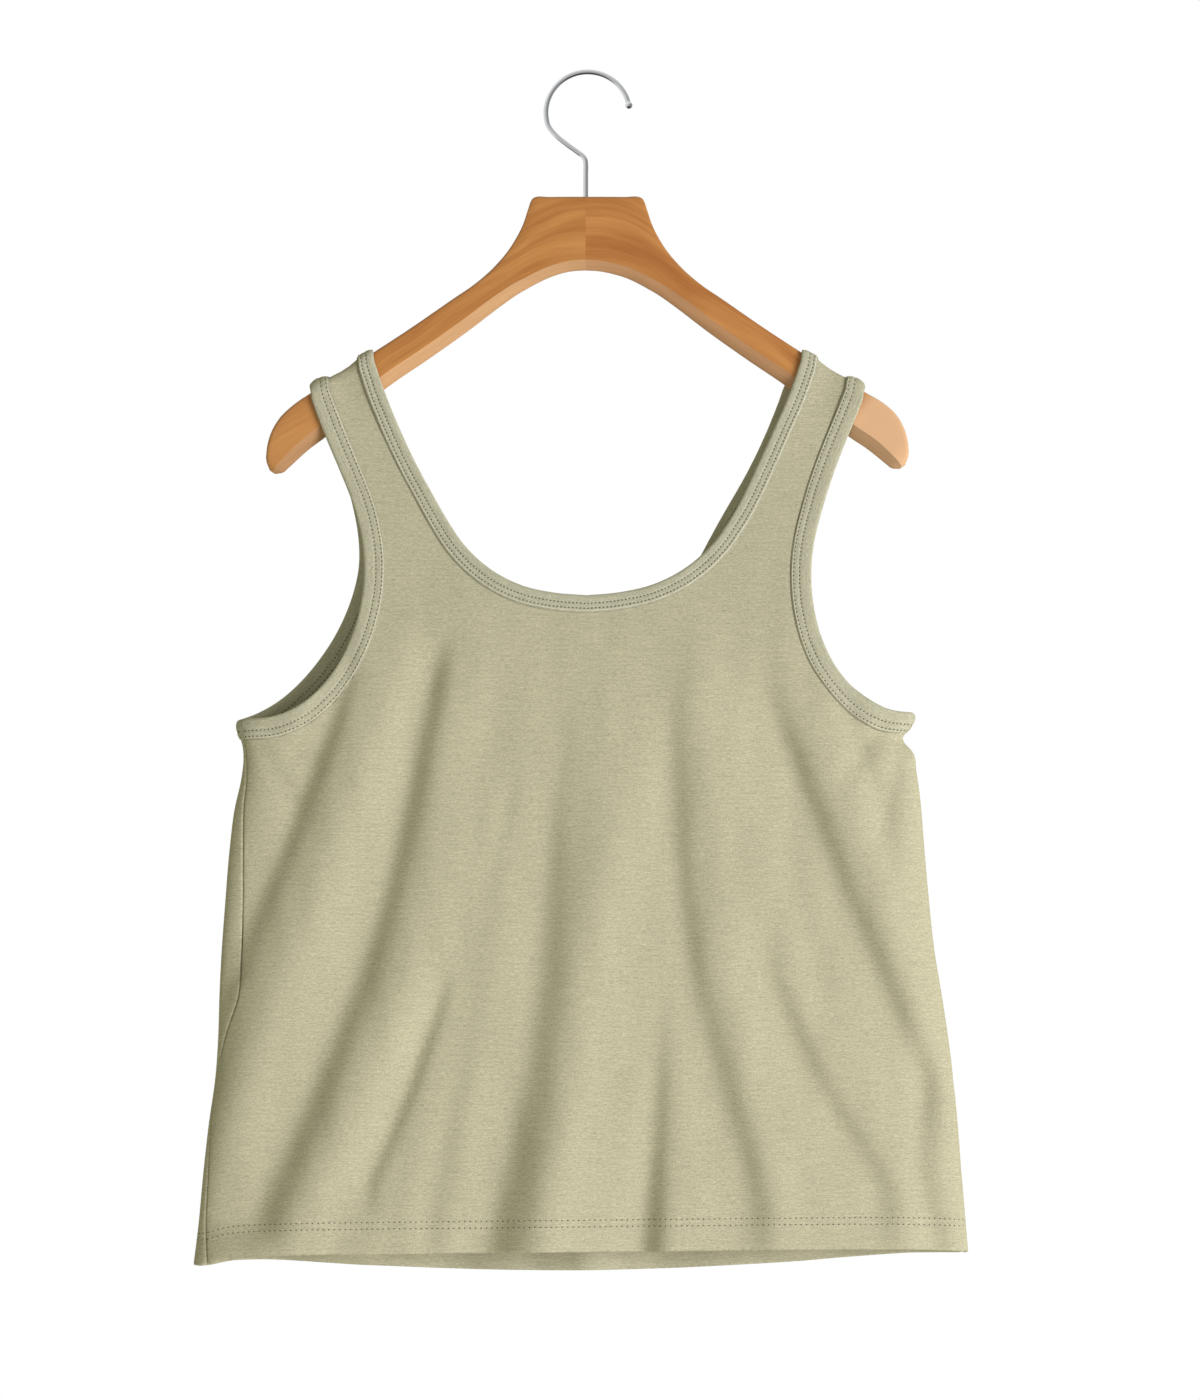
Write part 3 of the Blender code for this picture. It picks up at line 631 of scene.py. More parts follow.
    def armhole_line(self, face: Face) -> np.ndarray:
        """Draw an armhole's finished edge: level, then round, then up the strap.

        Args:
            face: The panel.

        Returns:
            Half distances and heights from the pit to the shoulder.
        """
        half, narrow_z, power, level = ARMHOLES[face]
        pit = self.reach(np.array([PIT_Z]))[0]
        level_s = np.linspace(pit, pit - level, 12)[:-1]
        angle = np.linspace(math.pi / 2, 0.0, 160)
        curve_s = half + (pit - level - half) * (1 - np.cos(angle).clip(0.0) ** (2 / power))
        curve_z = narrow_z + (PIT_Z - narrow_z) * np.sin(angle) ** (2 / power)
        part = np.linspace(0.0, 1.0, 121)[1:]
        top = self.shoulder_flat(np.array([HANGER_X + STRAP_OUTER]))[0]
        bend = self.strap_bend
        run_s = half + (STRAP_OUTER - half) * ((1 + bend) * part**2 - bend * part**3)
        run_z = narrow_z + (top - narrow_z) * part
        s = np.concatenate([level_s, curve_s, run_s])
        z = np.concatenate([np.full(len(level_s), PIT_Z), curve_z, run_z])
        return np.stack([s, z], axis=1)

    def neck_line(self, face: Face) -> np.ndarray:
        """Draw the neckline's finished edge, deeper on the back.

        Args:
            face: The panel.

        Returns:
            Half distances and heights from the centre to the shoulder.
        """
        scoop = 1.0 if face is Face.FRONT else BACK_SCOOP
        rows = np.array(NECKLINE)
        knots = lengths(rows)
        line = through(knots, rows, np.linspace(0.0, knots[-1], 240))
        line[:, 1] = rows[-1, 1] + (line[:, 1] - rows[-1, 1]) * scoop
        line[-1, 1] = self.shoulder_flat(HANGER_X + line[-1, 0])
        return line

    def inset(self, line: np.ndarray, width: float, side: float) -> np.ndarray:
        """Move a line into the body, along the shoulder's slope at its end.

        Args:
            line: Half distances and heights.
            width: How far it moves.
            side: -1 where the body lies towards the centre, 1 where it lies outward.

        Returns:
            The moved line, point for point.
        """
        along = unit(np.gradient(line, axis=0))
        square = side * np.stack([along[:, 1], -along[:, 0]], axis=1)
        slant = np.stack(
            [np.full(len(line), side), np.full(len(line), -side * ARM_SLOPE)], axis=1
        )
        slant /= np.abs(along[:, 1] + ARM_SLOPE * along[:, 0])[:, None]
        left = lengths(line)[-1] - lengths(line)
        near = 1 - ramp(left, 0.0, self.slant_reach)
        moved = line + width * (square * (1 - near[:, None]) + slant * near[:, None])
        moved[:, 0] *= self.reach(moved[:, 1]) / self.reach(line[:, 1])
        return moved

    def shifted(self, face: Face, side: float, rows: np.ndarray) -> np.ndarray:
        """Put a line on one side of a panel, with the body's turn.

        Args:
            face: The panel.
            side: -1 for the left, 1 for the right.
            rows: Half distances and heights.

        Returns:
            Flat places.
        """
        turn = self.body_at(rows[:, 1])[4]
        level = np.minimum(turn, MOST_TURN) * ramp(-rows[:, 1], *TURN_COMES)
        s = side * rows[:, 0] - face.value * level
        if face is Face.BACK and side > 0:
            below_top = self.shoulder_flat(HANGER_X + rows[:, 0]) - rows[:, 1]
            twist = ramp(below_top, *self.twist_below_top)
            twist = twist * (1 - ramp(-rows[:, 1], *TWIST_GOES))
            s -= RIGHT_STRAP_TWIST * twist
        return np.stack([s, rows[:, 1]], axis=1)

    def seam_at(self, face: Face, side: float, z: np.ndarray) -> np.ndarray:
        """Find where the cloth starts to roll in at a side seam.

        Args:
            face: The panel.
            side: -1 for the left seam, 1 for the right one.
            z: Flat heights.

        Returns:
            The distance round the body from the panel's centre at each height.
        """
        _, _, _, _, left, right = self.body_at(z)
        forward = left if side < 0 else right
        return side * (self.reach(z) + face.value * forward - SIDE_GAP / 2 - SEAM_ROLL)


class Socket:
    """A shader output that takes part in arithmetic."""

    def __init__(self, shader: "Nodes", socket: bpy.types.NodeSocket) -> None:
        """Wrap an output of the tree that shader makes nodes in."""
        self.shader = shader
        self.socket = socket

    def __add__(self, other: "Socket | float") -> "Socket":
        """This plus other."""
        return self.shader.maths("ADD", self, other)

    def __radd__(self, other: float) -> "Socket":
        """Other plus this."""
        return self.shader.maths("ADD", other, self)

    def __sub__(self, other: "Socket | float") -> "Socket":
        """This less other."""
        return self.shader.maths("SUBTRACT", self, other)

    def __rsub__(self, other: float) -> "Socket":
        """Other less this."""
        return self.shader.maths("SUBTRACT", other, self)

    def __mul__(self, other: "Socket | float") -> "Socket":
        """This times other."""
        return self.shader.maths("MULTIPLY", self, other)

    def __rmul__(self, other: float) -> "Socket":
        """Other times this."""
        return self.shader.maths("MULTIPLY", other, self)

    def __truediv__(self, other: "Socket | float") -> "Socket":
        """This over other."""
        return self.shader.maths("DIVIDE", self, other)

    def __rtruediv__(self, other: float) -> "Socket":
        """Other over this."""
        return self.shader.maths("DIVIDE", other, self)

    def fraction(self) -> "Socket":
        """What is left after the whole number."""
        return self.shader.maths("FRACT", self)

    def rise(self, start: float, end: float) -> "Socket":
        """Rise smoothly from 0 to 1.

        Args:
            start: The value at which it leaves 0, which may be the larger one.
            end: The value at which it reaches 1.

        Returns:
            The height of the rise.
        """
        settings = {"interpolation_type": "SMOOTHSTEP"}
        inputs = {"Value": self, "From Min": start, "From Max": end}
        return self.shader.node("ShaderNodeMapRange", settings, inputs)


class Nodes:
    """A node tree whose nodes are made by one method."""

    def __init__(self, tree: bpy.types.NodeTree) -> None:
        """Make nodes in this tree."""
        self.tree = tree

    def node(
        self,
        kind: str,
        settings: dict | None = None,
        inputs: dict | None = None,
        output: int | str = 0,
    ) -> Socket:
        """Make a node.

        Args:
            kind: The node's type.
            settings: Its properties.
            inputs: A number, colour or Socket for each named or numbered input.
            output: The output to hand on.

        Returns:
            That output.
        """
        made = self.tree.nodes.new(kind)
        for key, value in (settings or {}).items():
            setattr(made, key, value)
        for key, value in (inputs or {}).items():
            self.feed(made.inputs[key], value)
        return Socket(self, made.outputs[output])

    def feed(self, target: bpy.types.NodeSocket, value: "Socket | float | tuple") -> None:
        """Link a Socket to an input, or set the input to a constant.

        Args:
            target: The input.
            value: What it gets.
        """
        if isinstance(value, Socket):
            self.tree.links.new(value.socket, target)
        else:
            target.default_value = value

    def maths(self, operation: str, *values: "Socket | float") -> Socket:
        """A Math node over the values."""
        return self.node("ShaderNodeMath", {"operation": operation}, dict(enumerate(values)))

    def parts(self, vector: Socket) -> list[Socket]:
        """The three numbers of a vector."""
        split = self.node("ShaderNodeSeparateXYZ", inputs={0: vector})
        return [Socket(self, output) for output in split.socket.node.outputs]


class Shader(Nodes):
    """A material's nodes."""

    def __init__(self, name: str) -> None:
        """Start a material with that name."""
        self.material = bpy.data.materials.new(name)
        self.material.use_nodes = True
        super().__init__(self.material.node_tree)
        self.surface = self.tree.nodes["Principled BSDF"]

    def uv(self, name: str) -> list[Socket]:
        """The two parts of a UV map, in metres."""
        return self.parts(self.node("ShaderNodeUVMap", {"uv_map": name}))[:2]

    def noise(
        self, x: Socket | float, y: Socket | float, z: Socket | float, detail: float
    ) -> Socket:
        """Read smooth noise of scale 1.

        Args:
            x: The place's first number.
            y: Its second number.
            z: Its third number.
            detail: How many finer layers are added.

        Returns:
            The noise, about 0.5 on average.
        """
        place = self.node("ShaderNodeCombineXYZ", inputs={0: x, 1: y, 2: z})
        inputs = {"Vector": place, "Scale": 1.0, "Detail": detail}
        return self.node("ShaderNodeTexNoise", {"noise_dimensions": "3D"}, inputs)

    def mix(self, share: Socket, first: "Socket | tuple", second: "Socket | tuple") -> Socket:
        """One colour turning into another."""
        settings = {"data_type": "RGBA", "clamp_factor": True}
        return self.node("ShaderNodeMix", settings, {0: share, 6: first, 7: second}, 2)

    def scaled(self, colour: "Socket | tuple", factor: Socket) -> Socket:
        """Make a colour darker or lighter.

        Args:
            colour: The colour.
            factor: What it is multiplied by.

        Returns:
            The new colour.
        """
        grey = self.node("ShaderNodeCombineXYZ", inputs={0: factor, 1: factor, 2: factor})
        settings = {"data_type": "RGBA", "blend_type": "MULTIPLY", "clamp_factor": True}
        return self.node("ShaderNodeMix", settings, {0: 1.0, 6: colour, 7: grey}, 2)

    def finish(self, inputs: dict) -> bpy.types.Material:
        """Feed the surface.

        Args:
            inputs: A value or Socket for each named input.

        Returns:
            The material.
        """
        for key, value in inputs.items():
            self.feed(self.surface.inputs[key], value)
        return self.material


class Mottle(NamedTuple):
    """A layer of the yarn's unevenness: scales, detail, seed, weight in tone and relief."""

    along: float
    across: float
    detail: float
    seed: float
    tone: float
    relief: float


LONG_SLUBS = Mottle(60.0, 760.0, 3.0, 0.0, 0.38, 0.10)
SHORT_SLUBS = Mottle(330.0, 1300.0, 2.0, 7.0, 0.66, 0.10)
UNEVEN_DYE = Mottle(16.0, 11.0, 1.0, 3.0, 0.08, 0.0)
FINE_GRAIN = Mottle(1150.0, 1250.0, 2.0, 11.0, 0.80, 0.08)
MOTTLES = (LONG_SLUBS, SHORT_SLUBS, UNEVEN_DYE, FINE_GRAIN)


@dataclass(frozen=True)
class StitchRows:
    """Rows of needle holes across a UV map, and the place of a binding's body edge."""

    pitch: float
    rows: tuple[float, ...]
    radius: float = 0.54
    edge: float | None = None


@dataclass(frozen=True)
class JerseyFinish:
    """Heather jersey in one dye lot."""

    name: str
    colour: tuple[float, float, float]
    stitches: StitchRows
    seed: float
    hole_stretch: float = 0.75
    hole_core: float = 0.35
    # Painted shade inside the needle holes
    hole_painted_shade: float = 0.82
    hole_deep: float = 0.3
    # Painted shadow in the ditch beside a binding's body edge
    ditch_painted_shadow: float = 0.16
    # Painted highlight on the lit folded edge of a binding
    fold_painted_highlight: float = 0.22
    join_dark: float = 0.35

    def holes(self, shader: Shader, along: Socket, across: Socket) -> Socket | float:
        """Mark the needle holes, wider along their rows than across.

        Args:
            shader: The material's nodes.
            along: The UV map's first part.
            across: Its second part.

        Returns:
            1 in a hole and 0 elsewhere.
        """
        pitch = self.stitches.pitch * MM
        radius = self.stitches.radius
        near = ((along / pitch).fraction() - 0.5) * (pitch * self.hole_stretch)
        holes: Socket | float = 0.0
        for row in self.stitches.rows:
            away = across - row * MM
            distance = shader.maths("SQRT", near * near + away * away)
            hole = distance.rise(radius * MM, radius * self.hole_core * MM)
            holes = hole + holes
        return holes

    def edge_shade(self, along: Socket, across: Socket, edge: float) -> list[Socket]:
        """Paint a shadow into a binding's ditch and a highlight on the lit fold beside it, and
        darken the strip's own join.

        Args:
            along: The UV map's first part.
            across: Its second part.
            edge: The place of the body edge.

        Returns:
            Factors of the tone.
        """
        # Painted shadow in the ditch beside the body edge, where the raised binding shades the
        # cloth
        ditch = across.rise((edge + DITCH) * MM, (edge + 0.4) * MM)
        ditch = ditch * across.rise((edge - 0.2) * MM, (edge + 0.05) * MM)
        # Painted highlight on the binding's folded edge beside the ditch
        fold = across.rise((edge - 1.1) * MM, (edge - 0.7) * MM)
        fold = fold * across.rise(edge * MM, (edge - 0.3) * MM)
        join = along.rise(0.6 * MM, 0.2 * MM)
        return [
            1.0 - ditch * self.ditch_painted_shadow,
            1.0 + fold * self.fold_painted_highlight,
            1.0 - join * self.join_dark,
        ]

    def material(self) -> bpy.types.Material:
        """Make cloth with slubs along its first UV part and needle holes in rows, with painted
        shade in the holes, and on a binding a painted ditch shadow and a painted fold highlight.

        Returns:
            The material.
        """
        shader = Shader(self.name)
        along, across = shader.uv("flat")
        holes = self.holes(shader, along, across)
        shade: Socket | float = 1.0
        height: Socket | float = 0.0
        for mottle in MOTTLES:
            seed = self.seed + mottle.seed
            place = along * mottle.along, across * mottle.across, seed
            noise = shader.noise(*place, mottle.detail)
            shade = shade + (noise - 0.5) * mottle.tone
            if mottle.relief:
                height = noise * mottle.relief + height
        height = height - holes * self.hole_deep
        # Painted shade inside the needle holes
        shade = shade * (1.0 - holes * self.hole_painted_shade)
        # On a binding: the painted ditch shadow, the painted fold highlight and the darker join
        if self.stitches.edge is not None:
            for factor in self.edge_shade(along, across, self.stitches.edge):
                shade = shade * factor
        colour = shader.scaled((*self.colour, 1.0), shade)
        bump = shader.node(
            "ShaderNodeBump", inputs={"Strength": 0.5, "Distance": MM, "Height": height}
        )
        return shader.finish(
            {
                "Base Color": colour,
                "Roughness": 0.93,
                "Specular IOR Level": 0.12,
                "Sheen Weight": 0.06,
                "Sheen Roughness": 0.5,
                "Normal": bump,
            }
        )


@dataclass(frozen=True)
class WoodFinish:
    """Lacquered wood with its grain along the first UV part, and painted light and shade on its
    chamfer.
    """

    name: str
    pale: tuple[float, float, float]
    dark: tuple[float, float, float]
    # Painted light: the underside chamfer is made lighter, as where light falls on it from below
    chamfer_painted_light: tuple[float, float, float]
    tip: tuple[float, float, float]
    # Painted light and shade of the chamfer towards the tip, darker on the left arm where the
    # strap shades it
    tip_chamfer_painted_shading: tuple[float, float, float]
    tip_share: float
    seed: float
    tip_comes: tuple[float, float] = (198.0 * MM, 216.0 * MM)
    chamfer_light_comes: tuple[float, float] = (-0.15 * MM, 0.15 * MM)

    def material(self) -> bpy.types.Material:
        """Make wood with fine pores and broad bands, in another tone at its tip, with painted
        light and shade on the underside chamfer.

        Returns:
            The material.
        """
        shader = Shader(self.name)
        along, across = shader.uv("grain")
        below, _ = shader.uv("chamfer")
        bend = shader.noise(along * 14.0, across * 20.0, self.seed, 1.0)
        bands = shader.noise(along * 6.0, across * 85.0 + bend * 3.0, self.seed + 2.0, 3.0)
        lines = shader.noise(along * 9.0, across * 330.0 + bend * 3.0, self.seed + 9.0, 2.0)
        pores = shader.noise(along * 60.0, across * 1700.0, self.seed + 5.0, 2.0)
        share = (bands - 0.5) * 2.0 + (lines - 0.5) * 1.0 + (pores - 0.5) * 0.6 + 0.5
        face = shader.mix(share, (*self.dark, 1.0), (*self.pale, 1.0))
        end = along.rise(*self.tip_comes)
        face = shader.mix(end * self.tip_share, face, (*self.tip, 1.0))
        # The chamfer gets a painted colour of its own: lit from below, and shaded by the strap
        # near the left tip
        chamfer_painted_colour = shader.mix(end, (*self.chamfer_painted_light, 1.0), (*self.tip_chamfer_painted_shading, 1.0))
        chamfer_painted_light = below.rise(*self.chamfer_light_comes)
        colour = shader.mix(chamfer_painted_light, face, shader.scaled(chamfer_painted_colour, share * 0.25 + 0.87))
        bump = shader.node(
            "ShaderNodeBump", inputs={"Strength": 0.15, "Distance": MM, "Height": pores * 0.1}
        )
        return shader.finish(
            {
                "Base Color": colour,
                "Roughness": 0.5,
                "Coat Weight": 0.15,
                "Coat Roughness": 0.3,
                "Normal": bump,
            }
        )


@dataclass(frozen=True)
class SteelFinish:
    """Bright plated wire."""

    name: str
    colour: tuple[float, float, float]
    roughness: float

    def material(self) -> bpy.types.Material:
        """A plain metal."""
        values = {"Base Color": (*self.colour, 1.0), "Roughness": self.roughness, "Metallic": 1.0}
        return Shader(self.name).finish(values)


SAGE = (0.508, 0.476, 0.320)
HEM_ROWS = (HEM_Z + 19.4, HEM_Z + 15.4)
NECK_ROWS = (5.4, 8.6)
ARM_ROWS = (7.5, 11.2)
HEM_HOLES = StitchRows(HEM_PITCH, HEM_ROWS)
FRONT_JERSEY = JerseyFinish("sage_jersey_front", SAGE, HEM_HOLES, 1.0)
BACK_JERSEY = JerseyFinish("sage_jersey_back", SAGE, HEM_HOLES, 31.0)
NECK_JERSEY = JerseyFinish(
    name="sage_jersey_neck",
    colour=(0.500, 0.482, 0.345),
    stitches=StitchRows(NECK_PITCH, NECK_ROWS, 0.60, NECK_BINDING),
    seed=57.0,
)
ARM_JERSEY = JerseyFinish(
    name="sage_jersey_armhole",
    colour=(0.500, 0.478, 0.338),
    stitches=StitchRows(ARM_PITCH, ARM_ROWS, 0.60, ARM_BINDING),
    seed=83.0,
)
THREAD_FINISH = JerseyFinish("sage_thread", (0.52, 0.49, 0.36), StitchRows(HEM_PITCH, ()), 5.0)
LEFT_WOOD = WoodFinish(
    name="oiled_wood_left",
    pale=(0.64, 0.292, 0.082),
    dark=(0.42, 0.153, 0.035),
    chamfer_painted_light=(0.66, 0.37, 0.175),
    tip=(0.60, 0.28, 0.09),
    tip_chamfer_painted_shading=(0.50, 0.265, 0.120),
    tip_share=0.5,
    seed=3.0,
)
RIGHT_WOOD = WoodFinish(
    name="oiled_wood_right",
    pale=(0.63, 0.280, 0.080),
    dark=(0.41, 0.145, 0.033),
    chamfer_painted_light=(0.60, 0.315, 0.150),
    tip=(0.80, 0.49, 0.27),
    tip_chamfer_painted_shading=(0.56, 0.33, 0.175),
    tip_share=0.9,
    seed=19.0,
)
STEEL_FINISH = SteelFinish("bright_wire", (0.93, 0.94, 0.96), 0.12)


def grid(mesh: bmesh.types.BMesh, points: np.ndarray) -> list[list[bmesh.types.BMVert]]:
    """Add a net of faces.

    Args:
        mesh: Where it goes.
        points: An array of rows, columns and 3, in millimetres.

    Returns:
        Its vertices, row by row.
    """
    rows, columns = points.shape[:2]
    made = bmesh.ops.create_grid(mesh, x_segments=columns - 1, y_segments=rows - 1, size=1.0)
    net: list[list[bmesh.types.BMVert]] = [[None] * columns for _ in range(rows)]
    for vert in made["verts"]:
        column = round((vert.co.x + 1) / 2 * (columns - 1))
        row = round((vert.co.y + 1) / 2 * (rows - 1))
        net[row][column] = vert
        vert.co = points[row, column] * MM
    return net


def close_up(mesh: bmesh.types.BMesh, merge: float) -> None:
    """Merge a lofted net's seam, fill its ends and point its faces outwards.

    Args:
        mesh: The net.
        merge: How near two points are merged, in metres.
    """
    bmesh.ops.remove_doubles(mesh, verts=mesh.verts, dist=merge)
    bmesh.ops.holes_fill(mesh, edges=[edge for edge in mesh.edges if edge.is_boundary])
    bmesh.ops.recalc_face_normals(mesh, faces=mesh.faces[:])


def lay_uv(mesh: bmesh.types.BMesh, name: str, flat: np.ndarray) -> None:
    """Give a mesh a UV map.

    Args:
        mesh: The mesh.
        name: The map's name.
        flat: A flat place for each vertex, in millimetres.
    """
    layer = mesh.loops.layers.uv.new(name)
    mesh.verts.index_update()
    for face in mesh.faces:
        for loop in face.loops:
            loop[layer].uv = flat[loop.vert.index] * MM


def add_object(
    name: str, mesh: bmesh.types.BMesh, material: bpy.types.Material
) -> bpy.types.Object:
    """Make a smooth object of a mesh, on the garment's one body.

    Args:
        name: The piece's name.
        mesh: Its mesh, which is freed.
        material: Its finish.

    Returns:
        The object.
    """
    for face in mesh.faces:
        face.smooth = True
    data = bpy.data.meshes.new(name)
    mesh.to_mesh(data)
    mesh.free()
    data.materials.append(material)
    thing = bpy.data.objects.new(name, data)
    bpy.context.scene.collection.objects.link(thing)
    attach(thing, "root")
    log.info("%s: %d vertices, %d faces", name, len(data.vertices), len(data.polygons))
    return thing


class Stage(NamedTuple):
    """A step in drawing an open edge out: its angle round the roll and its run inward."""

    angle: float
    run: float


NO_STAGE = Stage(0.0, 0.0)
HEM_STAGES = (
    *(Stage(math.pi * part, 0.0) for part in (0.2, 0.4, 0.6, 0.8, 1.0)),
    *(Stage(math.pi, run) for run in (3.4, 7.0, 11.0, 15.0, 18.5, HEM_TURN)),
)
SEAM_STAGES = (
    *(Stage(math.pi / part, 0.0) for part in (6, 3, 2)),
    Stage(math.pi / 2, SEAM_ALLOWANCE),
)


@dataclass
class Panel:
    """The front or the back, cut flat, hemmed and hung."""

    drape: Drape
    face: Face
    finish: JerseyFinish
    name: str
    node: str
    slot: str
    shoulder_points: int = 7
    least_cell: float = 0.35
    hem_slack: float = 0.01
    side_slack: float = 0.05
    shoulder_slack: float = 0.4
    seams_below: float = -385.0
    sag_comes: tuple[float, float] = (-235.0, -205.0)
    sag_square: float = 0.8
    middle_half: float = 50.0

    def taper(self, z: np.ndarray) -> np.ndarray:
        """How much wider the hem is than the body at each height."""
        return self.drape.reach(np.array([HEM_Z]))[0] / self.drape.reach(z)

    def to_net(self, rows: np.ndarray) -> np.ndarray:
        """Flat places with s scaled to what it is at the hem, so that columns taper."""
        return np.stack([rows[:, 0] * self.taper(rows[:, 1]), rows[:, 1]], axis=1)

    def from_net(self, rows: np.ndarray) -> np.ndarray:
        """Flat places from those of the net."""
        return np.stack([rows[:, 0] / self.taper(rows[:, 1]), rows[:, 1]], axis=1)

    def outline(self) -> np.ndarray:
        """Draw the cut's edge: hem, side seams, armholes, shoulders and neckline.

        Returns:
            The net's places, anticlockwise from the right end of the hem.
        """
        line = self.drape.armhole_line(self.face)
        arm = self.drape.inset(line, ARM_BINDING - TUCK, -1.0)
        neck = self.drape.inset(self.drape.neck_line(self.face), NECK_BINDING - TUCK, 1.0)
        arm_at = even_places(arm, NET_STEP)
        neck_at = even_places(neck, NET_STEP)
        halves = []
        for side in (-1.0, 1.0):
            armhole = self.drape.shifted(self.face, side, read(arm, arm_at))
            top = armhole[0, 1]
            body_z = np.linspace(HEM_Z + HEM_ROLL, top, round((top - HEM_Z) / NET_STEP))
            seam = np.stack([self.drape.seam_at(self.face, side, body_z), body_z], axis=1)
            neckline = self.drape.shifted(self.face, side, read(neck, neck_at))
            armhole[-1, 1] = self.drape.top_at(self.face, armhole[-1, 0])
            neckline[-1, 1] = self.drape.top_at(self.face, neckline[-1, 0])
            part = np.linspace(0.0, 1.0, self.shoulder_points + 2)[1:-1, None]
            shoulder = armhole[-1] * (1 - part) + neckline[-1] * part
            halves.append(np.concatenate([seam, armhole[1:], shoulder, neckline[:0:-1]]))
        left, right = halves
        middle = self.drape.shifted(self.face, 1.0, neck[:1])
        return self.to_net(np.concatenate([right, middle, left[::-1]]))

    def cut(self, mesh: bmesh.types.BMesh) -> None:
        """Cut the flat outline into a net of rows and columns.

        Args:
            mesh: Where the net goes.
        """
        outline = self.outline()
        mesh.faces.new([mesh.verts.new((s, z, 0.0)) for s, z in outline])
        low, high = outline.min(axis=0), outline.max(axis=0)
        cuts = [
            (Vector((s, 0.0, 0.0)), Vector((1.0, 0.0, 0.0)))
            for s in np.arange(low[0] + NET_STEP / 2, high[0], NET_STEP)
        ]
        cuts += [
            (Vector((0.0, z, 0.0)), Vector((0.0, 1.0, 0.0)))
            for z in np.arange(low[1] + NET_STEP, high[1], NET_STEP)
        ]
        for spot, square in cuts:
            geom = mesh.verts[:] + mesh.edges[:] + mesh.faces[:]
            bmesh.ops.bisect_plane(
                mesh, geom=geom, dist=self.least_cell, plane_co=spot, plane_no=square
            )

    def turn_edges(self, mesh: bmesh.types.BMesh) -> dict[str, bmesh.types.BMLayerItem]:
        """Draw the open edges out, stage by stage, for the hem and the seams.

        Args:
            mesh: The flat net.

        Returns:
            The layers that hold each point's stage of the hem and of a seam.
        """
        layers = {
            "hem": mesh.verts.layers.int.new("hem"),
            "seam": mesh.verts.layers.int.new("seam"),
        }
        open_edges = [edge for edge in mesh.edges if edge.is_boundary]
        low = min(vert.co.y for vert in mesh.verts)
        high = low + self.hem_slack
        hem = [edge for edge in open_edges if max(vert.co.y for vert in edge.verts) < high]
        sides = [edge for edge in open_edges if self.on_seam(edge)]
        self.draw_out(mesh, hem, layers["hem"], len(HEM_STAGES))
        self.draw_out(mesh, sides, layers["seam"], len(SEAM_STAGES))
        return layers

    def on_seam(self, edge: bmesh.types.BMEdge) -> bool:
        """Tell the seams from the edges that a binding covers.

        Args:
            edge: An open edge of the net.

        Returns:
            Whether it lies on a side seam or the shoulder seam.
        """
        rows = self.from_net(np.array([vert.co[:2] for vert in edge.verts]))
        low = rows[:, 1].min()
        if self.seams_below < low < STRAPS_ABOVE:
            return False
        side = 1.0 if rows[0, 0] > 0 else -1.0
        seam = self.drape.seam_at(self.face, side, rows[:, 1])
        if low < STRAPS_ABOVE:
            return bool((np.abs(rows[:, 0] - seam) < self.side_slack).all())
        tops = [self.drape.top_at(self.face, s) for s in rows[:, 0]]
        return bool((np.abs(rows[:, 1] - tops) < self.shoulder_slack).all())

    def draw_out(
        self,
        mesh: bmesh.types.BMesh,
        edges: list[bmesh.types.BMEdge],
        layer: bmesh.types.BMLayerItem,
        stages: int,
    ) -> None:
        """Extrude open edges once for each stage, and number the new points.

        Args:
            mesh: The net.
            edges: A run of its open edges.
            layer: Where each new point's stage is noted.
            stages: How many stages there are.
        """
        for stage in range(1, stages + 1):
            made = bmesh.ops.extrude_edge_only(mesh, edges=edges)["geom"]
            verts = [item for item in made if isinstance(item, bmesh.types.BMVert)]
            for vert in verts:
                vert[layer] = stage
            fresh = set(verts)
            found = [item for item in made if isinstance(item, bmesh.types.BMEdge)]
            edges = [edge for edge in found if fresh.issuperset(edge.verts)]

    def sag(self, flat: np.ndarray) -> np.ndarray:
        """Sink the straps on to the wood between their bindings.

        Args:
            flat: Flat places.

        Returns:
            How far each one sinks.
        """
        arm = self.drape.inset(self.drape.armhole_line(self.face), ARM_BINDING, -1.0)
        neck = self.drape.inset(self.drape.neck_line(self.face), NECK_BINDING, 1.0)
        outer = np.interp(flat[:, 1], *arm[:, ::-1].T)
        inner = np.interp(flat[:, 1], *neck[:, ::-1].T)
        part = np.clip((np.abs(flat[:, 0]) - inner) / (outer - inner), 0.0, 1.0)
        sunk = STRAP_SAG * np.sin(math.pi * part) ** self.sag_square
        return sunk * ramp(flat[:, 1], *self.sag_comes)

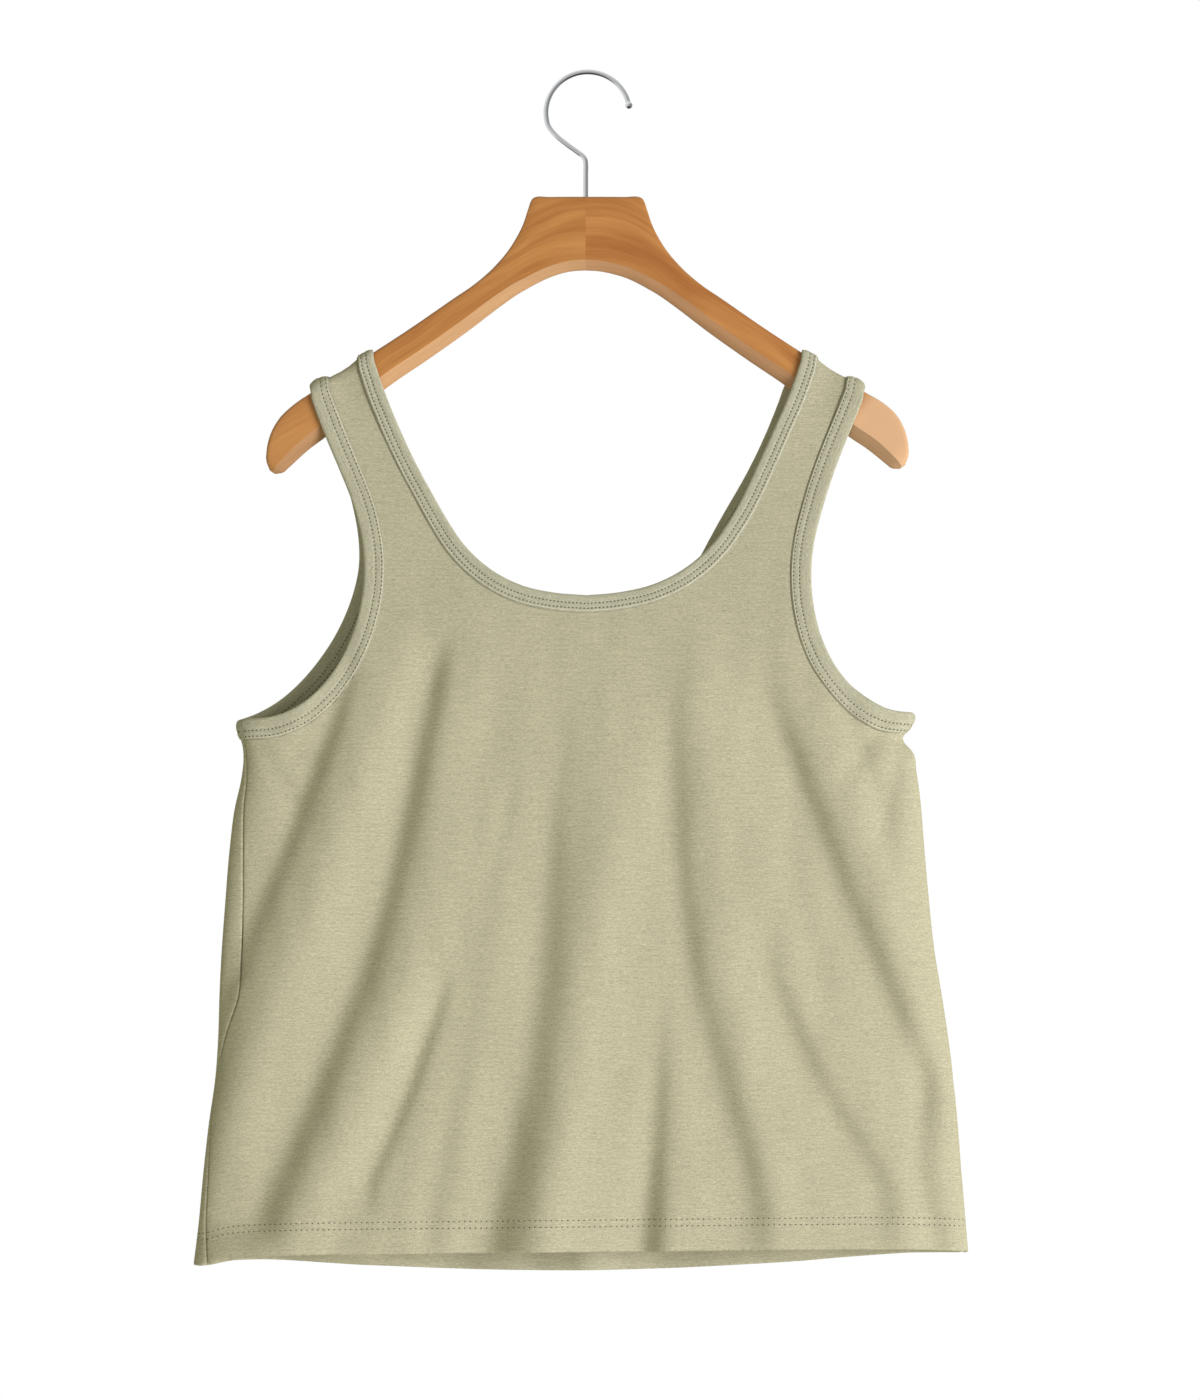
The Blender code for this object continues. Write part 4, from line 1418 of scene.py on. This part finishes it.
    def hang(self, mesh: bmesh.types.BMesh, layers: dict) -> np.ndarray:
        """Move the flat points to where they hang.

        Args:
            mesh: The net with its edges drawn out.
            layers: The layers from turn_edges.

        Returns:
            The points' flat places.
        """
        net = np.array([vert.co[:2] for vert in mesh.verts])
        hem = np.array([vert[layers["hem"]] for vert in mesh.verts])
        seam = np.array([vert[layers["seam"]] for vert in mesh.verts])
        turned, risen = np.array([NO_STAGE, *HEM_STAGES]).T
        turned, risen = turned[hem], risen[hem]
        flat = self.from_net(np.stack([net[:, 0], net[:, 1] + risen], axis=1))
        points, normals, across = self.drape.frame_at(self.face, flat[:, 0], flat[:, 1])
        points -= normals * self.sag(flat)[:, None]
        down = -unit(np.cross(normals * -self.face.value, across))
        points += down * (HEM_ROLL * np.sin(turned))[:, None]
        points -= normals * (HEM_ROLL * (1 - np.cos(turned)))[:, None]
        angle, inward = np.array([NO_STAGE, *SEAM_STAGES]).T
        angle, inward = angle[seam], inward[seam]
        shoulder = flat[:, 1] > STRAPS_ABOVE
        inward = np.where(shoulder, np.minimum(inward, SHOULDER_ALLOWANCE), inward)
        outward = np.where(shoulder[:, None], -down, across * np.sign(flat[:, :1]))
        points += outward * (SEAM_ROLL * np.sin(angle))[:, None] * (seam > 0)[:, None]
        points -= normals * (SEAM_ROLL * (1 - np.cos(angle)) + inward)[:, None]
        for vert, point in zip(mesh.verts, points):
            vert.co = point * MM
        return flat

    def build(self) -> bpy.types.Object:
        """Cut, hem and hang the panel.

        Returns:
            The panel, with a wall as thick as the jersey.
        """
        mesh = bmesh.new()
        self.cut(mesh)
        area = sum(face.calc_area() for face in mesh.faces)
        layers = self.turn_edges(mesh)
        mesh.verts.index_update()
        flat = self.hang(mesh, layers)
        lay_uv(mesh, "flat", flat)
        mesh.normal_update()
        half = self.middle_half * MM
        middle = [face for face in mesh.faces if abs(face.calc_center_median().x) < half]
        if sum(face.normal.y * self.face.value for face in middle) < 0:
            bmesh.ops.reverse_faces(mesh, faces=mesh.faces[:])
        thing = add_object(self.name, mesh, self.finish.material())
        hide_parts(self.node)
        wall = thing.modifiers.new("Cloth", "SOLIDIFY")
        wall.thickness = JERSEY * MM
        wall.offset = -1.0
        wall.use_even_offset = False
        wide, tall = np.ptp(flat, axis=0)
        share = (area + wide * HEM_TURN) * MM * MM
        return thing


class Run(NamedTuple):
    """Half of a binding: the flat places of its finished edge and its body edge."""

    face: Face
    edge: np.ndarray
    body: np.ndarray


def profile(width: float, rows: Sequence[float]) -> np.ndarray:
    """Draw a binding's closed section.

    Args:
        width: From the finished edge to the body edge.
        rows: The stitch rows, measured from the finished edge.

    Returns:
        Rows of place across and lift off the cloth's outer face, from the ditch beside the
        body edge, over the outside and the finished edge, to the slot for the cloth.
    """
    out, back = BINDING_OUT, -BINDING_IN
    over = np.linspace(width - 0.7, 1.4, 15)
    dips = sum(np.exp(-(((over - row) / STITCH_DIP_HALF) ** 2)) for row in rows)
    swell = np.sin(math.pi * np.clip(over / rows[0], 0, 1)) ** 0.7
    outside = np.stack([over, out - STITCH_DIP * dips + EDGE_SWELL * swell], axis=1)
    turn = np.linspace(math.pi / 2, 3 * math.pi / 2, 8)[1:-1]
    half = (out - back) / 2
    edge = np.stack([1.2 + 1.2 * np.cos(turn), back + half + half * np.sin(turn)], axis=1)
    ditch = [(width + DITCH, 0.08), (width + 0.3, 0.13), (width + 0.04, 0.18)]
    start = [*ditch, (width, 0.40), (width - 0.14, 0.68)]
    inside = [(1.6, back), (width / 2, back), (width - 0.5, back), (width, -1.3)]
    under, deep = -JERSEY - 0.08, width - TUCK - 0.3
    slot = [(width - 0.2, under), (deep, under), (deep, 0.03)]
    return np.array([*start, *outside, *edge, *inside, *slot])


class Corner(NamedTuple):
    """How far a binding's finished edge leans out, drops and swells over the shoulder."""

    out: float
    drop: float
    swell: float


@dataclass
class Binding:
    """A folded strip of jersey round the neck or an armhole."""

    drape: Drape
    name: str
    node: str
    slot: str
    finish: JerseyFinish
    width: float
    rows: tuple[float, ...]
    runs: list[Run]
    corner: Corner
    corner_comes: tuple[float, float] = (13.0, 1.0)
    wood_comes: tuple[float, float] = (-250.0, -205.0)
    silhouette_comes: tuple[float, float] = (0.95, 1.0)
    swell_turn: float = 0.85 * math.pi
    thread_sunk: float = 0.24

    def ring(self) -> tuple[np.ndarray, np.ndarray, np.ndarray]:
        """Lay the runs end to end.

        Returns:
            The face, the finished edge and the body edge of each station.
        """
        # Each run starts where the one before it ends, so its first station is left out
        faces = [np.full(len(run.edge) - 1, run.face.value) for run in self.runs]
        edges = [run.edge[1:] for run in self.runs]
        bodies = [run.body[1:] for run in self.runs]
        return np.concatenate(faces), np.concatenate(edges), np.concatenate(bodies)

    def spots(self, across: float, lift: float | np.ndarray) -> tuple[np.ndarray, np.ndarray]:
        """Find one line all round the binding.

        Args:
            across: Its place, measured from the finished edge.
            lift: How far it is lifted off the cloth.

        Returns:
            Its points and the cloth's normals there.
        """
        faces, edge, body = self.ring()
        flat = edge + (body - edge) * (across / self.width)
        points = np.zeros((len(faces), 3))
        normals = np.zeros((len(faces), 3))
        for face in Face:
            own = faces == face.value
            found, outward, _ = self.drape.frame_at(face, flat[own, 0], flat[own, 1])
            points[own], normals[own] = found, outward
        over = ramp(flat[:, 1], *self.wood_comes) * BINDING_OVER_WOOD
        points = points + normals * (lift + over)[:, None]
        points[:, 0] -= np.sign(points[:, 0]) * self.pit_round(across, flat)
        start, end = self.corner_comes
        top = self.drape.shoulder_flat(np.abs(points[:, 0]))
        near = ramp(flat[:, 1], top - start, top - end)
        part = np.clip(1 - across / self.width, 0.0, 1.0)
        shallow = np.clip((lift + BINDING_IN) / (BINDING_OUT + BINDING_IN), 0.0, 1.0)
        rise = self.corner.swell * math.sin(self.swell_turn * part) - self.corner.drop * part**2
        points[:, 0] += np.sign(points[:, 0]) * self.corner.out * near * part**2
        points[:, 2] += rise * near * shallow
        return points, normals

    def pit_round(self, across: float, flat: np.ndarray) -> np.ndarray:
        """Round the binding off where it turns edge on at the pit.

        Args:
            across: A line's place, measured from the finished edge.
            flat: The line's flat places.

        Returns:
            How far each point moves towards the garment's middle.
        """
        part = np.abs(flat[:, 0]) / self.drape.reach(flat[:, 1])
        ends = ramp(part, *self.silhouette_comes) * ramp(-flat[:, 1], *PIT_COMES)
        part = 1 - 2 * across / self.width
        barrel = max(part, 0.0) ** 4 + 0.3 * min(max(-part, 0.0), 1.0) ** 4
        return PIT_ROUND * barrel * ends

    def along(self) -> np.ndarray:
        """Distances round the ring, at the outer stitch row."""
        points, _ = self.spots(self.rows[-1], 0.0)
        return lengths(np.concatenate([points, points[:1]]))

    def build(self) -> bpy.types.Object:
        """Sweep the section round the ring, slightly puffed and pinched in turn.

        Returns:
            The binding.
        """
        section = profile(self.width, self.rows)
        along = self.along()
        wave = np.sin(along / 5.3) * 0.5 + np.sin(along / 8.9 + 1.0) * 0.5
        columns = []
        for across, lift in [*section, section[0]]:
            puff = PUFF * wave[:-1] * (lift > 0.2) * min(1.0, across / 3.0)
            columns.append(self.spots(across, lift + puff)[0])
        points = np.stack(columns, axis=1)
        points = np.concatenate([points, points[:1]])
        mesh = bmesh.new()
        net = grid(mesh, points)
        mesh.verts.index_update()
        flat = np.zeros((len(mesh.verts), 2))
        places = [*section[:, 0], section[0, 0]]
        for row, verts in enumerate(net):
            for vert, across in zip(verts, places):
                flat[vert.index] = along[row], across
        lay_uv(mesh, "flat", flat)
        bmesh.ops.remove_doubles(mesh, verts=mesh.verts, dist=MERGE)
        bmesh.ops.recalc_face_normals(mesh, faces=mesh.faces[:])
        thing = add_object(self.name, mesh, self.finish.material())
        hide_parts(self.node)
        self.width * MM
        log.info("%s: %.0f mm round", self.name, along[-1])
        return thing

    def stitch_lines(self) -> list[np.ndarray]:
        """Find where the threads of the stitch rows lie.

        Returns:
            For each closed row, rows of place along, point and normal.
        """
        found = []
        along = self.along()[:, None]
        for row in self.rows:
            points, normals = self.spots(row, BINDING_OUT - self.thread_sunk)
            line = np.concatenate([points, normals], axis=1)
            line = np.concatenate([line, line[:1]])
            found.append(np.concatenate([along, line], axis=1))
        return found


def neck_binding(drape: Drape) -> Binding:
    """Lay the neck's binding in four runs between the centre and the shoulders.

    Args:
        drape: How the cloth hangs.

    Returns:
        The binding, not built yet.
    """
    runs = []
    for face in Face:
        line = drape.neck_line(face)
        body = drape.inset(line, NECK_BINDING, 1.0)
        at = even_places(line, BINDING_STEP)
        for side in (-1.0, 1.0):
            edge_rows = drape.shifted(face, side, read(line, at))
            body_rows = drape.shifted(face, side, read(body, at))
            if (side < 0) == (face is Face.FRONT):
                edge_rows, body_rows = edge_rows[::-1], body_rows[::-1]
            runs.append(Run(face, edge_rows, body_rows))
    front_left, front_right, back_left, back_right = runs
    order = [front_left, front_right, back_right, back_left]
    return Binding(
        drape, "neck_band", "neck_binding", "jersey_neck_binding",
        NECK_JERSEY, NECK_BINDING, NECK_ROWS, order, Corner(0.8, 2.8, 0.0),
    )


def armhole_binding(drape: Drape, side: float) -> Binding:
    """Lay an armhole's binding in a run up the front and one down the back.

    Args:
        drape: How the cloth hangs.
        side: -1 for the left armhole, 1 for the right one.

    Returns:
        The binding, not built yet.
    """
    runs = []
    for face in Face:
        line = drape.armhole_line(face)
        body = drape.inset(line, ARM_BINDING, -1.0)
        at = even_places(line, BINDING_STEP)
        edge_rows = drape.shifted(face, side, read(line, at))
        body_rows = drape.shifted(face, side, read(body, at))
        if face is Face.BACK:
            edge_rows, body_rows = edge_rows[::-1], body_rows[::-1]
        runs.append(Run(face, edge_rows, body_rows))
    word = "left" if side < 0 else "right"
    return Binding(
        drape, f"armhole_band_{word}", f"armhole_binding_{word}", "jersey_armhole_binding",
        ARM_JERSEY, ARM_BINDING, ARM_ROWS, runs, Corner(0.3, 0.0, 2.4),
    )


@dataclass
class Stitching:
    """Rows of short threads, one small capsule for each stitch."""

    name: str
    slot: str
    pitch: float
    lines: list[np.ndarray]
    shown: float = 0.62
    step: float = 0.4
    sides: int = 6
    rings: int = 5

    def matrices(self) -> list[Matrix]:
        """Lay the threads along their rows, flat on the cloth.

        Returns:
            The place, turn and size of each one.
        """
        found = []
        for rows in self.lines:
            along, line = rows[:, 0], rows[:, 1:]
            first, last = math.ceil(along[0] / self.pitch), along[-1] / self.pitch
            middles = np.arange(first, last) * self.pitch
            ends = [
                np.stack([np.interp(middles + step, along, part) for part in line.T], axis=1)
                for step in (-self.step, 0.0, self.step)
            ]
            ways = unit(ends[2][:, :3] - ends[0][:, :3])
            ups = unit(ends[1][:, 3:])
            sides = unit(np.cross(ups, ways))
            ups = np.cross(ways, sides)
            size = (self.pitch * self.shown / 2, THREAD / 2, THREAD / 2)
            for way, across, up, spot in zip(ways, sides, ups, ends[1][:, :3]):
                turn = Matrix((way, across, up)).transposed().to_4x4()
                place = Matrix.Translation(Vector(spot) * MM)
                found.append(place @ turn @ Matrix.Diagonal((*size, 1.0)))
        return found

    def build(self) -> bpy.types.Object:
        """Repeat one capsule at every place.

        Returns:
            All the threads in one piece.
        """
        one = bmesh.new()
        bmesh.ops.create_uvsphere(one, u_segments=self.sides, v_segments=self.rings, radius=MM)
        verts = np.array([(*vert.co, 1.0) for vert in one.verts])
        faces = [[vert.index for vert in face.verts] for face in one.faces]
        one.free()
        spots = np.array(self.matrices())
        points = np.einsum("nij,vj->nvi", spots, verts)[..., :3].reshape(-1, 3)
        starts = range(0, len(points), len(verts))
        data = bpy.data.meshes.new(self.name)
        data.from_pydata(
            points.tolist(), [], [[i + start for i in face] for start in starts for face in faces]
        )
        mesh = bmesh.new()
        mesh.from_mesh(data)
        bpy.data.meshes.remove(data)
        lay_uv(mesh, "flat", points[:, ::2] / MM)
        return add_object(self.name, mesh, bpy.data.materials[THREAD_FINISH.name])


def hem_lines(drape: Drape, face: Face) -> list[np.ndarray]:
    """Find where the threads of a panel's hem lie.

    Args:
        drape: How the cloth hangs.
        face: The panel.

    Returns:
        For each of the two rows, rows of place along, point and normal.
    """
    found = []
    for row in HEM_ROWS:
        ends = [drape.seam_at(face, side, np.array([row]))[0] for side in (-1.0, 1.0)]
        s = np.linspace(*ends, 160)
        points, normals, _ = drape.frame_at(face, s, np.full(len(s), row))
        points = points - normals * HEM_THREAD_SUNK
        found.append(np.concatenate([s[:, None], points, normals], axis=1))
    return found


@dataclass
class Hanger:
    """Two mirrored wooden arms that meet at the middle."""

    left_finish: WoodFinish = LEFT_WOOD
    right_finish: WoodFinish = RIGHT_WOOD
    top_round: float = 2.5
    chamfer_soft: float = 0.25
    seam_gap: float = 0.02
    middle_comes: tuple[float, float] = (12.0, 34.0)
    grain_bend: float = 24.0
    grain_slant: float = 0.8
    right_tip_lift: float = 3.6
    lift_comes: tuple[float, float] = (160.0, 205.0)
    sharp: float = math.radians(32)
    step: float = 2.5
    tip_sections: int = 6
    face_shares: tuple[float, ...] = (0.3, 0.5, 0.7)

    def section(self, half: float, height: float, chamfer: float) -> np.ndarray:
        """Draw one closed section: round on top, flat faces and a chamfered keel.

        Args:
            half: Half the arm's thickness.
            height: From its top to its keel.
            chamfer: The height of the chamfers above the keel.

        Returns:
            Rows of y and distance down from the top, as many for every section.
        """
        bend = min(self.top_round, half * 0.6, height * 0.3)
        soft = min(self.chamfer_soft, chamfer * 0.3)
        corner = np.linspace(0.0, math.pi / 2, 6)
        top = np.stack(
            [half - bend + bend * np.sin(corner), bend - bend * np.cos(corner)], axis=1
        )
        face = np.array([(half, height * share) for share in self.face_shares])
        face = face[face[:, 1] < height - chamfer - soft]
        edge = np.array(
            [
                (half, height - chamfer - soft * 0.8),
                (half - 0.08 * soft, height - chamfer - 0.1 * soft),
                (half - 0.5 * soft, height - chamfer + 0.6 * soft),
            ]
        )
        keel = np.array(
            [
                (half * 0.64, height - chamfer * 0.55),
                (half * 0.28, height - chamfer * 0.1),
                (half * 0.14, height - chamfer * 0.02),
            ]
        )
        side = np.concatenate([[(0.0, 0.0)], top, face, edge, keel, [(0.0, height)]])
        missing = len(self.face_shares) - len(face)
        if missing:
            below_top = 1 + len(top)
            side = np.insert(side, below_top, [side[below_top]] * missing, axis=0)
        return np.concatenate([side, side[-2:0:-1] * (-1, 1)])

    def ring_at(self, side: float, row: np.ndarray) -> tuple[np.ndarray, np.ndarray]:
        """Place one section of an arm.

        Args:
            side: -1 for the left arm, 1 for the right one.
            row: The numbers of a Wood.

        Returns:
            Its points, and how far each one is below the chamfers' upper edge.
        """
        wood = Wood(*row)
        middle = ramp(np.array(wood.top_x), *self.middle_comes)
        shift = SEAM_X + (HANGER_X - SEAM_X) * middle
        gap = self.seam_gap / 2
        top = np.array([shift + side * (max(wood.top_x, 0.0) + gap), wood.top_z])
        keel = np.array([shift + side * (max(wood.keel_x, 0.0) + gap), wood.keel_z])
        height = np.linalg.norm(keel - top)
        down = (keel - top) / height
        ring = self.section(wood.half, height, wood.chamfer)
        ring = np.concatenate([ring, ring[:1]])
        x, z = top[0] + down[0] * ring[:, 1], top[1] + down[1] * ring[:, 1]
        if side > 0:
            z = z + self.right_tip_lift * ramp(x, *self.lift_comes)
        below = ring[:, 1] - (height - wood.chamfer)
        return np.stack([x, ring[:, 0], z], axis=1), below

    def grain_level(self, points: np.ndarray) -> np.ndarray:
        """Tell how far down points lie across the grain, which bends along the arm.

        Args:
            points: Points of the wood's surface.

        Returns:
            A distance for each point.
        """
        x, y, z = points.T
        out = np.abs(x - HANGER_X)
        slope = ARM_SLOPE * (out - self.grain_bend * np.tanh(out / self.grain_bend))
        return -z - slope + self.grain_slant * y

    def build_arm(
        self, side: float, finish: WoodFinish, name: str, node: str
    ) -> bpy.types.Object:
        """Loft one arm from the seam to its tip.

        Args:
            side: -1 for the left arm, 1 for the right one.
            finish: Its wood.
            name: The piece's name.
            node: The solid that it replaces.

        Returns:
            The arm.
        """
        rows = np.array(ARM)
        knots = lengths((rows[:, :2] + rows[:, 2:4]) / 2)
        count = round(knots[-1] / self.step)
        # The sections that round the tip are kept where they are
        at = np.concatenate([np.linspace(0.0, knots[-1], count), knots[-self.tip_sections :]])
        at = np.unique(at)
        rings, flats, belows = [], [], []
        for along, row in zip(at, through(knots, rows, at)):
            ring, below = self.ring_at(side, row)
            rings.append(ring)
            flats.append(np.stack([np.full(len(ring), along), self.grain_level(ring)], axis=1))
            belows.append(np.stack([below, np.zeros(len(ring))], axis=1))
        mesh = bmesh.new()
        net = grid(mesh, np.array(rings))
        mesh.verts.index_update()
        order = [vert.index for verts in net for vert in verts]
        for name_of_map, places in (("grain", flats), ("chamfer", belows)):
            flat = np.zeros((len(mesh.verts), 2))
            flat[order] = np.concatenate(places)
            lay_uv(mesh, name_of_map, flat)
        close_up(mesh, MERGE)
        thing = add_object(name, mesh, finish.material())
        thing.data.set_sharp_from_angle(angle=self.sharp)
        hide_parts(node)
        return thing

    def build(self) -> list[bpy.types.Object]:
        """Build both arms.

        Returns:
            The left one and the right one.
        """
        return [
            self.build_arm(-1.0, self.left_finish, "hanger_arm_left", "hanger_left"),
            self.build_arm(1.0, self.right_finish, "hanger_arm_right", "hanger_right"),
        ]


@dataclass
class Hook:
    """The bent wire, with a ball at its tip."""

    finish: SteelFinish = STEEL_FINISH
    wire: float = 3.2
    ball: float = 4.7
    radius: float = 26.5
    centre: tuple[float, float] = (0.0, -24.9)
    tip: float = math.radians(10.5)
    arc_end: float = math.radians(196.5)
    bends: tuple[tuple[float, float], ...] = WIRE_BENDS
    shank: tuple[float, float] = (-66.0, -102.0)
    sides: int = 20

    def on_arc(self, angle: np.ndarray) -> np.ndarray:
        """Points of the round part, rows of x and z."""
        x = self.centre[0] + self.radius * np.cos(angle)
        return np.stack([x, self.centre[1] + self.radius * np.sin(angle)], axis=1)

    def path(self) -> tuple[np.ndarray, np.ndarray]:
        """Draw the wire from the ball at its tip to the end of its shank.

        Returns:
            Its centre line, rows of x and z, and its radius at each.
        """
        arc = self.on_arc(np.linspace(self.tip, self.arc_end, 90))
        rows = np.concatenate([arc[[-11, -6, -1]], np.array(self.bends)])
        knots = lengths(rows)
        smooth = through(knots, rows, np.linspace(knots[2], knots[-1], 40))[1:]
        end = np.stack([np.full(12, SEAM_X), np.linspace(*self.shank, 12)], axis=1)
        line = np.concatenate([arc, smooth, end])
        ball = self.ball / 2
        turns = np.linspace(0.02, 0.76, 16) * math.pi
        step = ball * (1 - np.cos(turns))
        bead = self.on_arc(self.tip - ball / self.radius + step / self.radius)
        keep = lengths(line) > step[-1] - ball + 0.3
        sizes = np.concatenate([ball * np.sin(turns), np.full(keep.sum(), self.wire / 2)])
        return np.concatenate([bead, line[keep]]), sizes

    def build(self) -> bpy.types.Object:
        """Sweep the wire along its line.

        Returns:
            The hook.
        """
        line, sizes = self.path()
        ways = unit(np.gradient(line, axis=0))
        square = np.stack([-ways[:, 1], ways[:, 0]], axis=1)
        turns = np.linspace(0.0, 2 * math.pi, self.sides + 1)
        rings = []
        for spot, out, size in zip(line, square, sizes):
            flat = np.outer(np.cos(turns) * size, out) + spot
            rings.append(np.stack([flat[:, 0], np.sin(turns) * size, flat[:, 1]], axis=1))
        mesh = bmesh.new()
        grid(mesh, np.array(rings))
        close_up(mesh, FINE_MERGE)
        thing = add_object("wire_hook", mesh, self.finish.material())
        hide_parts("hook")
        return thing


@dataclass
class Lamp:
    """A rectangular soft light aimed at the garment, in metres and watts."""

    name: str
    spot: tuple[float, float, float]
    size: tuple[float, float]
    power: float
    colour: tuple[float, float, float] = (1.0, 1.0, 1.0)
    aim: tuple[float, float, float] = (0.0, 0.0, -0.42)

    def build(self) -> bpy.types.Object:
        """Place and aim the light, unseen in reflections.

        Returns:
            The lamp.
        """
        data = bpy.data.lights.new(self.name, "AREA")
        data.shape = "RECTANGLE"
        data.size, data.size_y = self.size
        data.energy = self.power
        data.color = self.colour
        lamp = bpy.data.objects.new(self.name, data)
        bpy.context.scene.collection.objects.link(lamp)
        lamp.location = self.spot
        lamp.visible_glossy = False
        way = Vector(self.aim) - Vector(self.spot)
        lamp.rotation_euler = way.to_track_quat("-Z", "Y").to_euler()
        return lamp


class Glow(NamedTuple):
    """A side of the room seen in reflections: where it begins and is full, and how bright."""

    axis: int
    start: float
    full: float
    bright: float


@dataclass
class Studio:
    """White surroundings, soft light, a pale floor and the photo's view, in metres."""

    distance: float = 2.6
    below: float = math.radians(7.0)
    aim: tuple[float, float, float] = (0.0078, 0.0, -0.400)
    pixel: float = 0.623 * MM
    image_long_side: int = 1400
    floor_z: float = -1.7
    ambient: float = 0.205
    warmth: float = 0.32
    backdrop: float = 0.75
    window: float = 0.35
    back_comes: tuple[float, float] = (0.0, 0.5)
    window_comes: tuple[float, float] = (0.45, 0.8)
    room: float = 0.42
    glows: tuple[Glow, ...] = (
        Glow(0, -0.2, -0.7, 0.25),
        Glow(0, 0.2, 0.7, -0.2),
        Glow(2, 0.3, 0.8, 0.25),
        Glow(1, 0.3, 0.8, 0.25),
    )
    below_comes: tuple[float, float] = (-0.45, -0.75)
    below_dark: float = 0.9
    floor_radius: float = 2.2
    floor_colour: tuple[float, float, float] = (0.86, 0.86, 0.86)
    lamps: tuple[Lamp, ...] = (
        Lamp("key", (4.0, -3.7, -1.1), (3.2, 3.2), 266.0, (1.0, 1.0, 1.14)),
        Lamp("fill", (-0.6, -2.6, -1.0), (1.6, 1.6), 10.0),
    )

    def build(self) -> None:
        """Make the whole studio."""
        self.add_world()
        self.add_floor()
        for lamp in self.lamps:
            lamp.build()
        self.add_camera()
        bpy.context.scene.view_settings.view_transform = "Standard"

    def add_world(self) -> None:
        """White to the camera, dim and warm as light, and like a room in reflections."""
        world = bpy.data.worlds.new("white_room")
        bpy.context.scene.world = world
        world.use_nodes = True
        nodes = Nodes(world.node_tree)
        way = nodes.parts(nodes.node("ShaderNodeTexCoord", output="Generated"))
        x, y, z = way
        light = y.rise(*self.back_comes) * (self.backdrop - self.ambient) + self.ambient
        light = light + x.rise(*self.window_comes) * self.window
        mirror: Socket | float = self.room
        for glow in self.glows:
            mirror = mirror + way[glow.axis].rise(glow.start, glow.full) * glow.bright
        mirror = mirror * (1.0 - z.rise(*self.below_comes) * self.below_dark)
        glossy = nodes.node("ShaderNodeLightPath", output="Is Glossy Ray")
        seen = nodes.node("ShaderNodeLightPath", output="Is Camera Ray")
        level = light + (mirror - light) * glossy
        level = level + (1.0 - level) * seen
        back = world.node_tree.nodes["Background"]
        blue = 1.0 - (1.0 - glossy) * (1.0 - seen) * self.warmth
        mixed = {"Red": 1.0, "Green": 1.0, "Blue": blue}
        nodes.feed(back.inputs["Color"], nodes.node("ShaderNodeCombineColor", inputs=mixed))
        nodes.feed(back.inputs["Strength"], level)

    def add_floor(self) -> None:
        """A round white floor well below the hem."""
        mesh = bmesh.new()
        bmesh.ops.create_circle(mesh, cap_ends=True, segments=64, radius=self.floor_radius)
        bmesh.ops.translate(mesh, verts=mesh.verts, vec=(0.0, 0.0, self.floor_z))
        data = bpy.data.meshes.new("floor")
        mesh.to_mesh(data)
        mesh.free()
        white = {"Base Color": (*self.floor_colour, 1.0), "Roughness": 0.8}
        data.materials.append(Shader("pale_floor").finish(white))
        floor = bpy.data.objects.new("floor", data)
        bpy.context.scene.collection.objects.link(floor)
        floor.visible_glossy = False

    def add_camera(self) -> None:
        """Look up at the garment from a little below its middle."""
        data = bpy.data.cameras.new("camera")
        data.sensor_width = 36.0
        data.lens = data.sensor_width * self.distance / self.pixel / self.image_long_side
        camera = bpy.data.objects.new("camera", data)
        bpy.context.scene.collection.objects.link(camera)
        back = Vector((0.0, -math.cos(self.below), -math.sin(self.below)))
        camera.location = Vector(self.aim) + back * self.distance
        camera.rotation_euler = (math.pi / 2 + self.below, 0.0, 0.0)
        bpy.context.scene.camera = camera


def write_sizes() -> None:
    """Bring the view layer up to date."""
    bpy.context.view_layer.update()


def main() -> None:
    """Build every piece in order, then the studio."""
    drape = Drape()
    THREAD_FINISH.material()
    Panel(drape, Face.FRONT, FRONT_JERSEY, "front_cloth", "front_panel", "jersey_front").build()
    Panel(drape, Face.BACK, BACK_JERSEY, "back_cloth", "back_panel", "jersey_back").build()
    neck = neck_binding(drape)
    neck.build()
    Stitching("neck_stitches", neck.slot, NECK_PITCH, neck.stitch_lines()).build()
    for side, word in ((-1.0, "left"), (1.0, "right")):
        armhole = armhole_binding(drape, side)
        armhole.build()
        lines = armhole.stitch_lines()
        Stitching(f"armhole_stitches_{word}", armhole.slot, ARM_PITCH, lines).build()
    for face, word in ((Face.FRONT, "front"), (Face.BACK, "back")):
        lines = hem_lines(drape, face)
        Stitching(f"hem_stitches_{word}", f"jersey_{word}", HEM_PITCH, lines).build()
    Hanger().build()
    Hook().build()
    Studio().build()
    write_sizes()


if __name__ == "__main__":
    main()
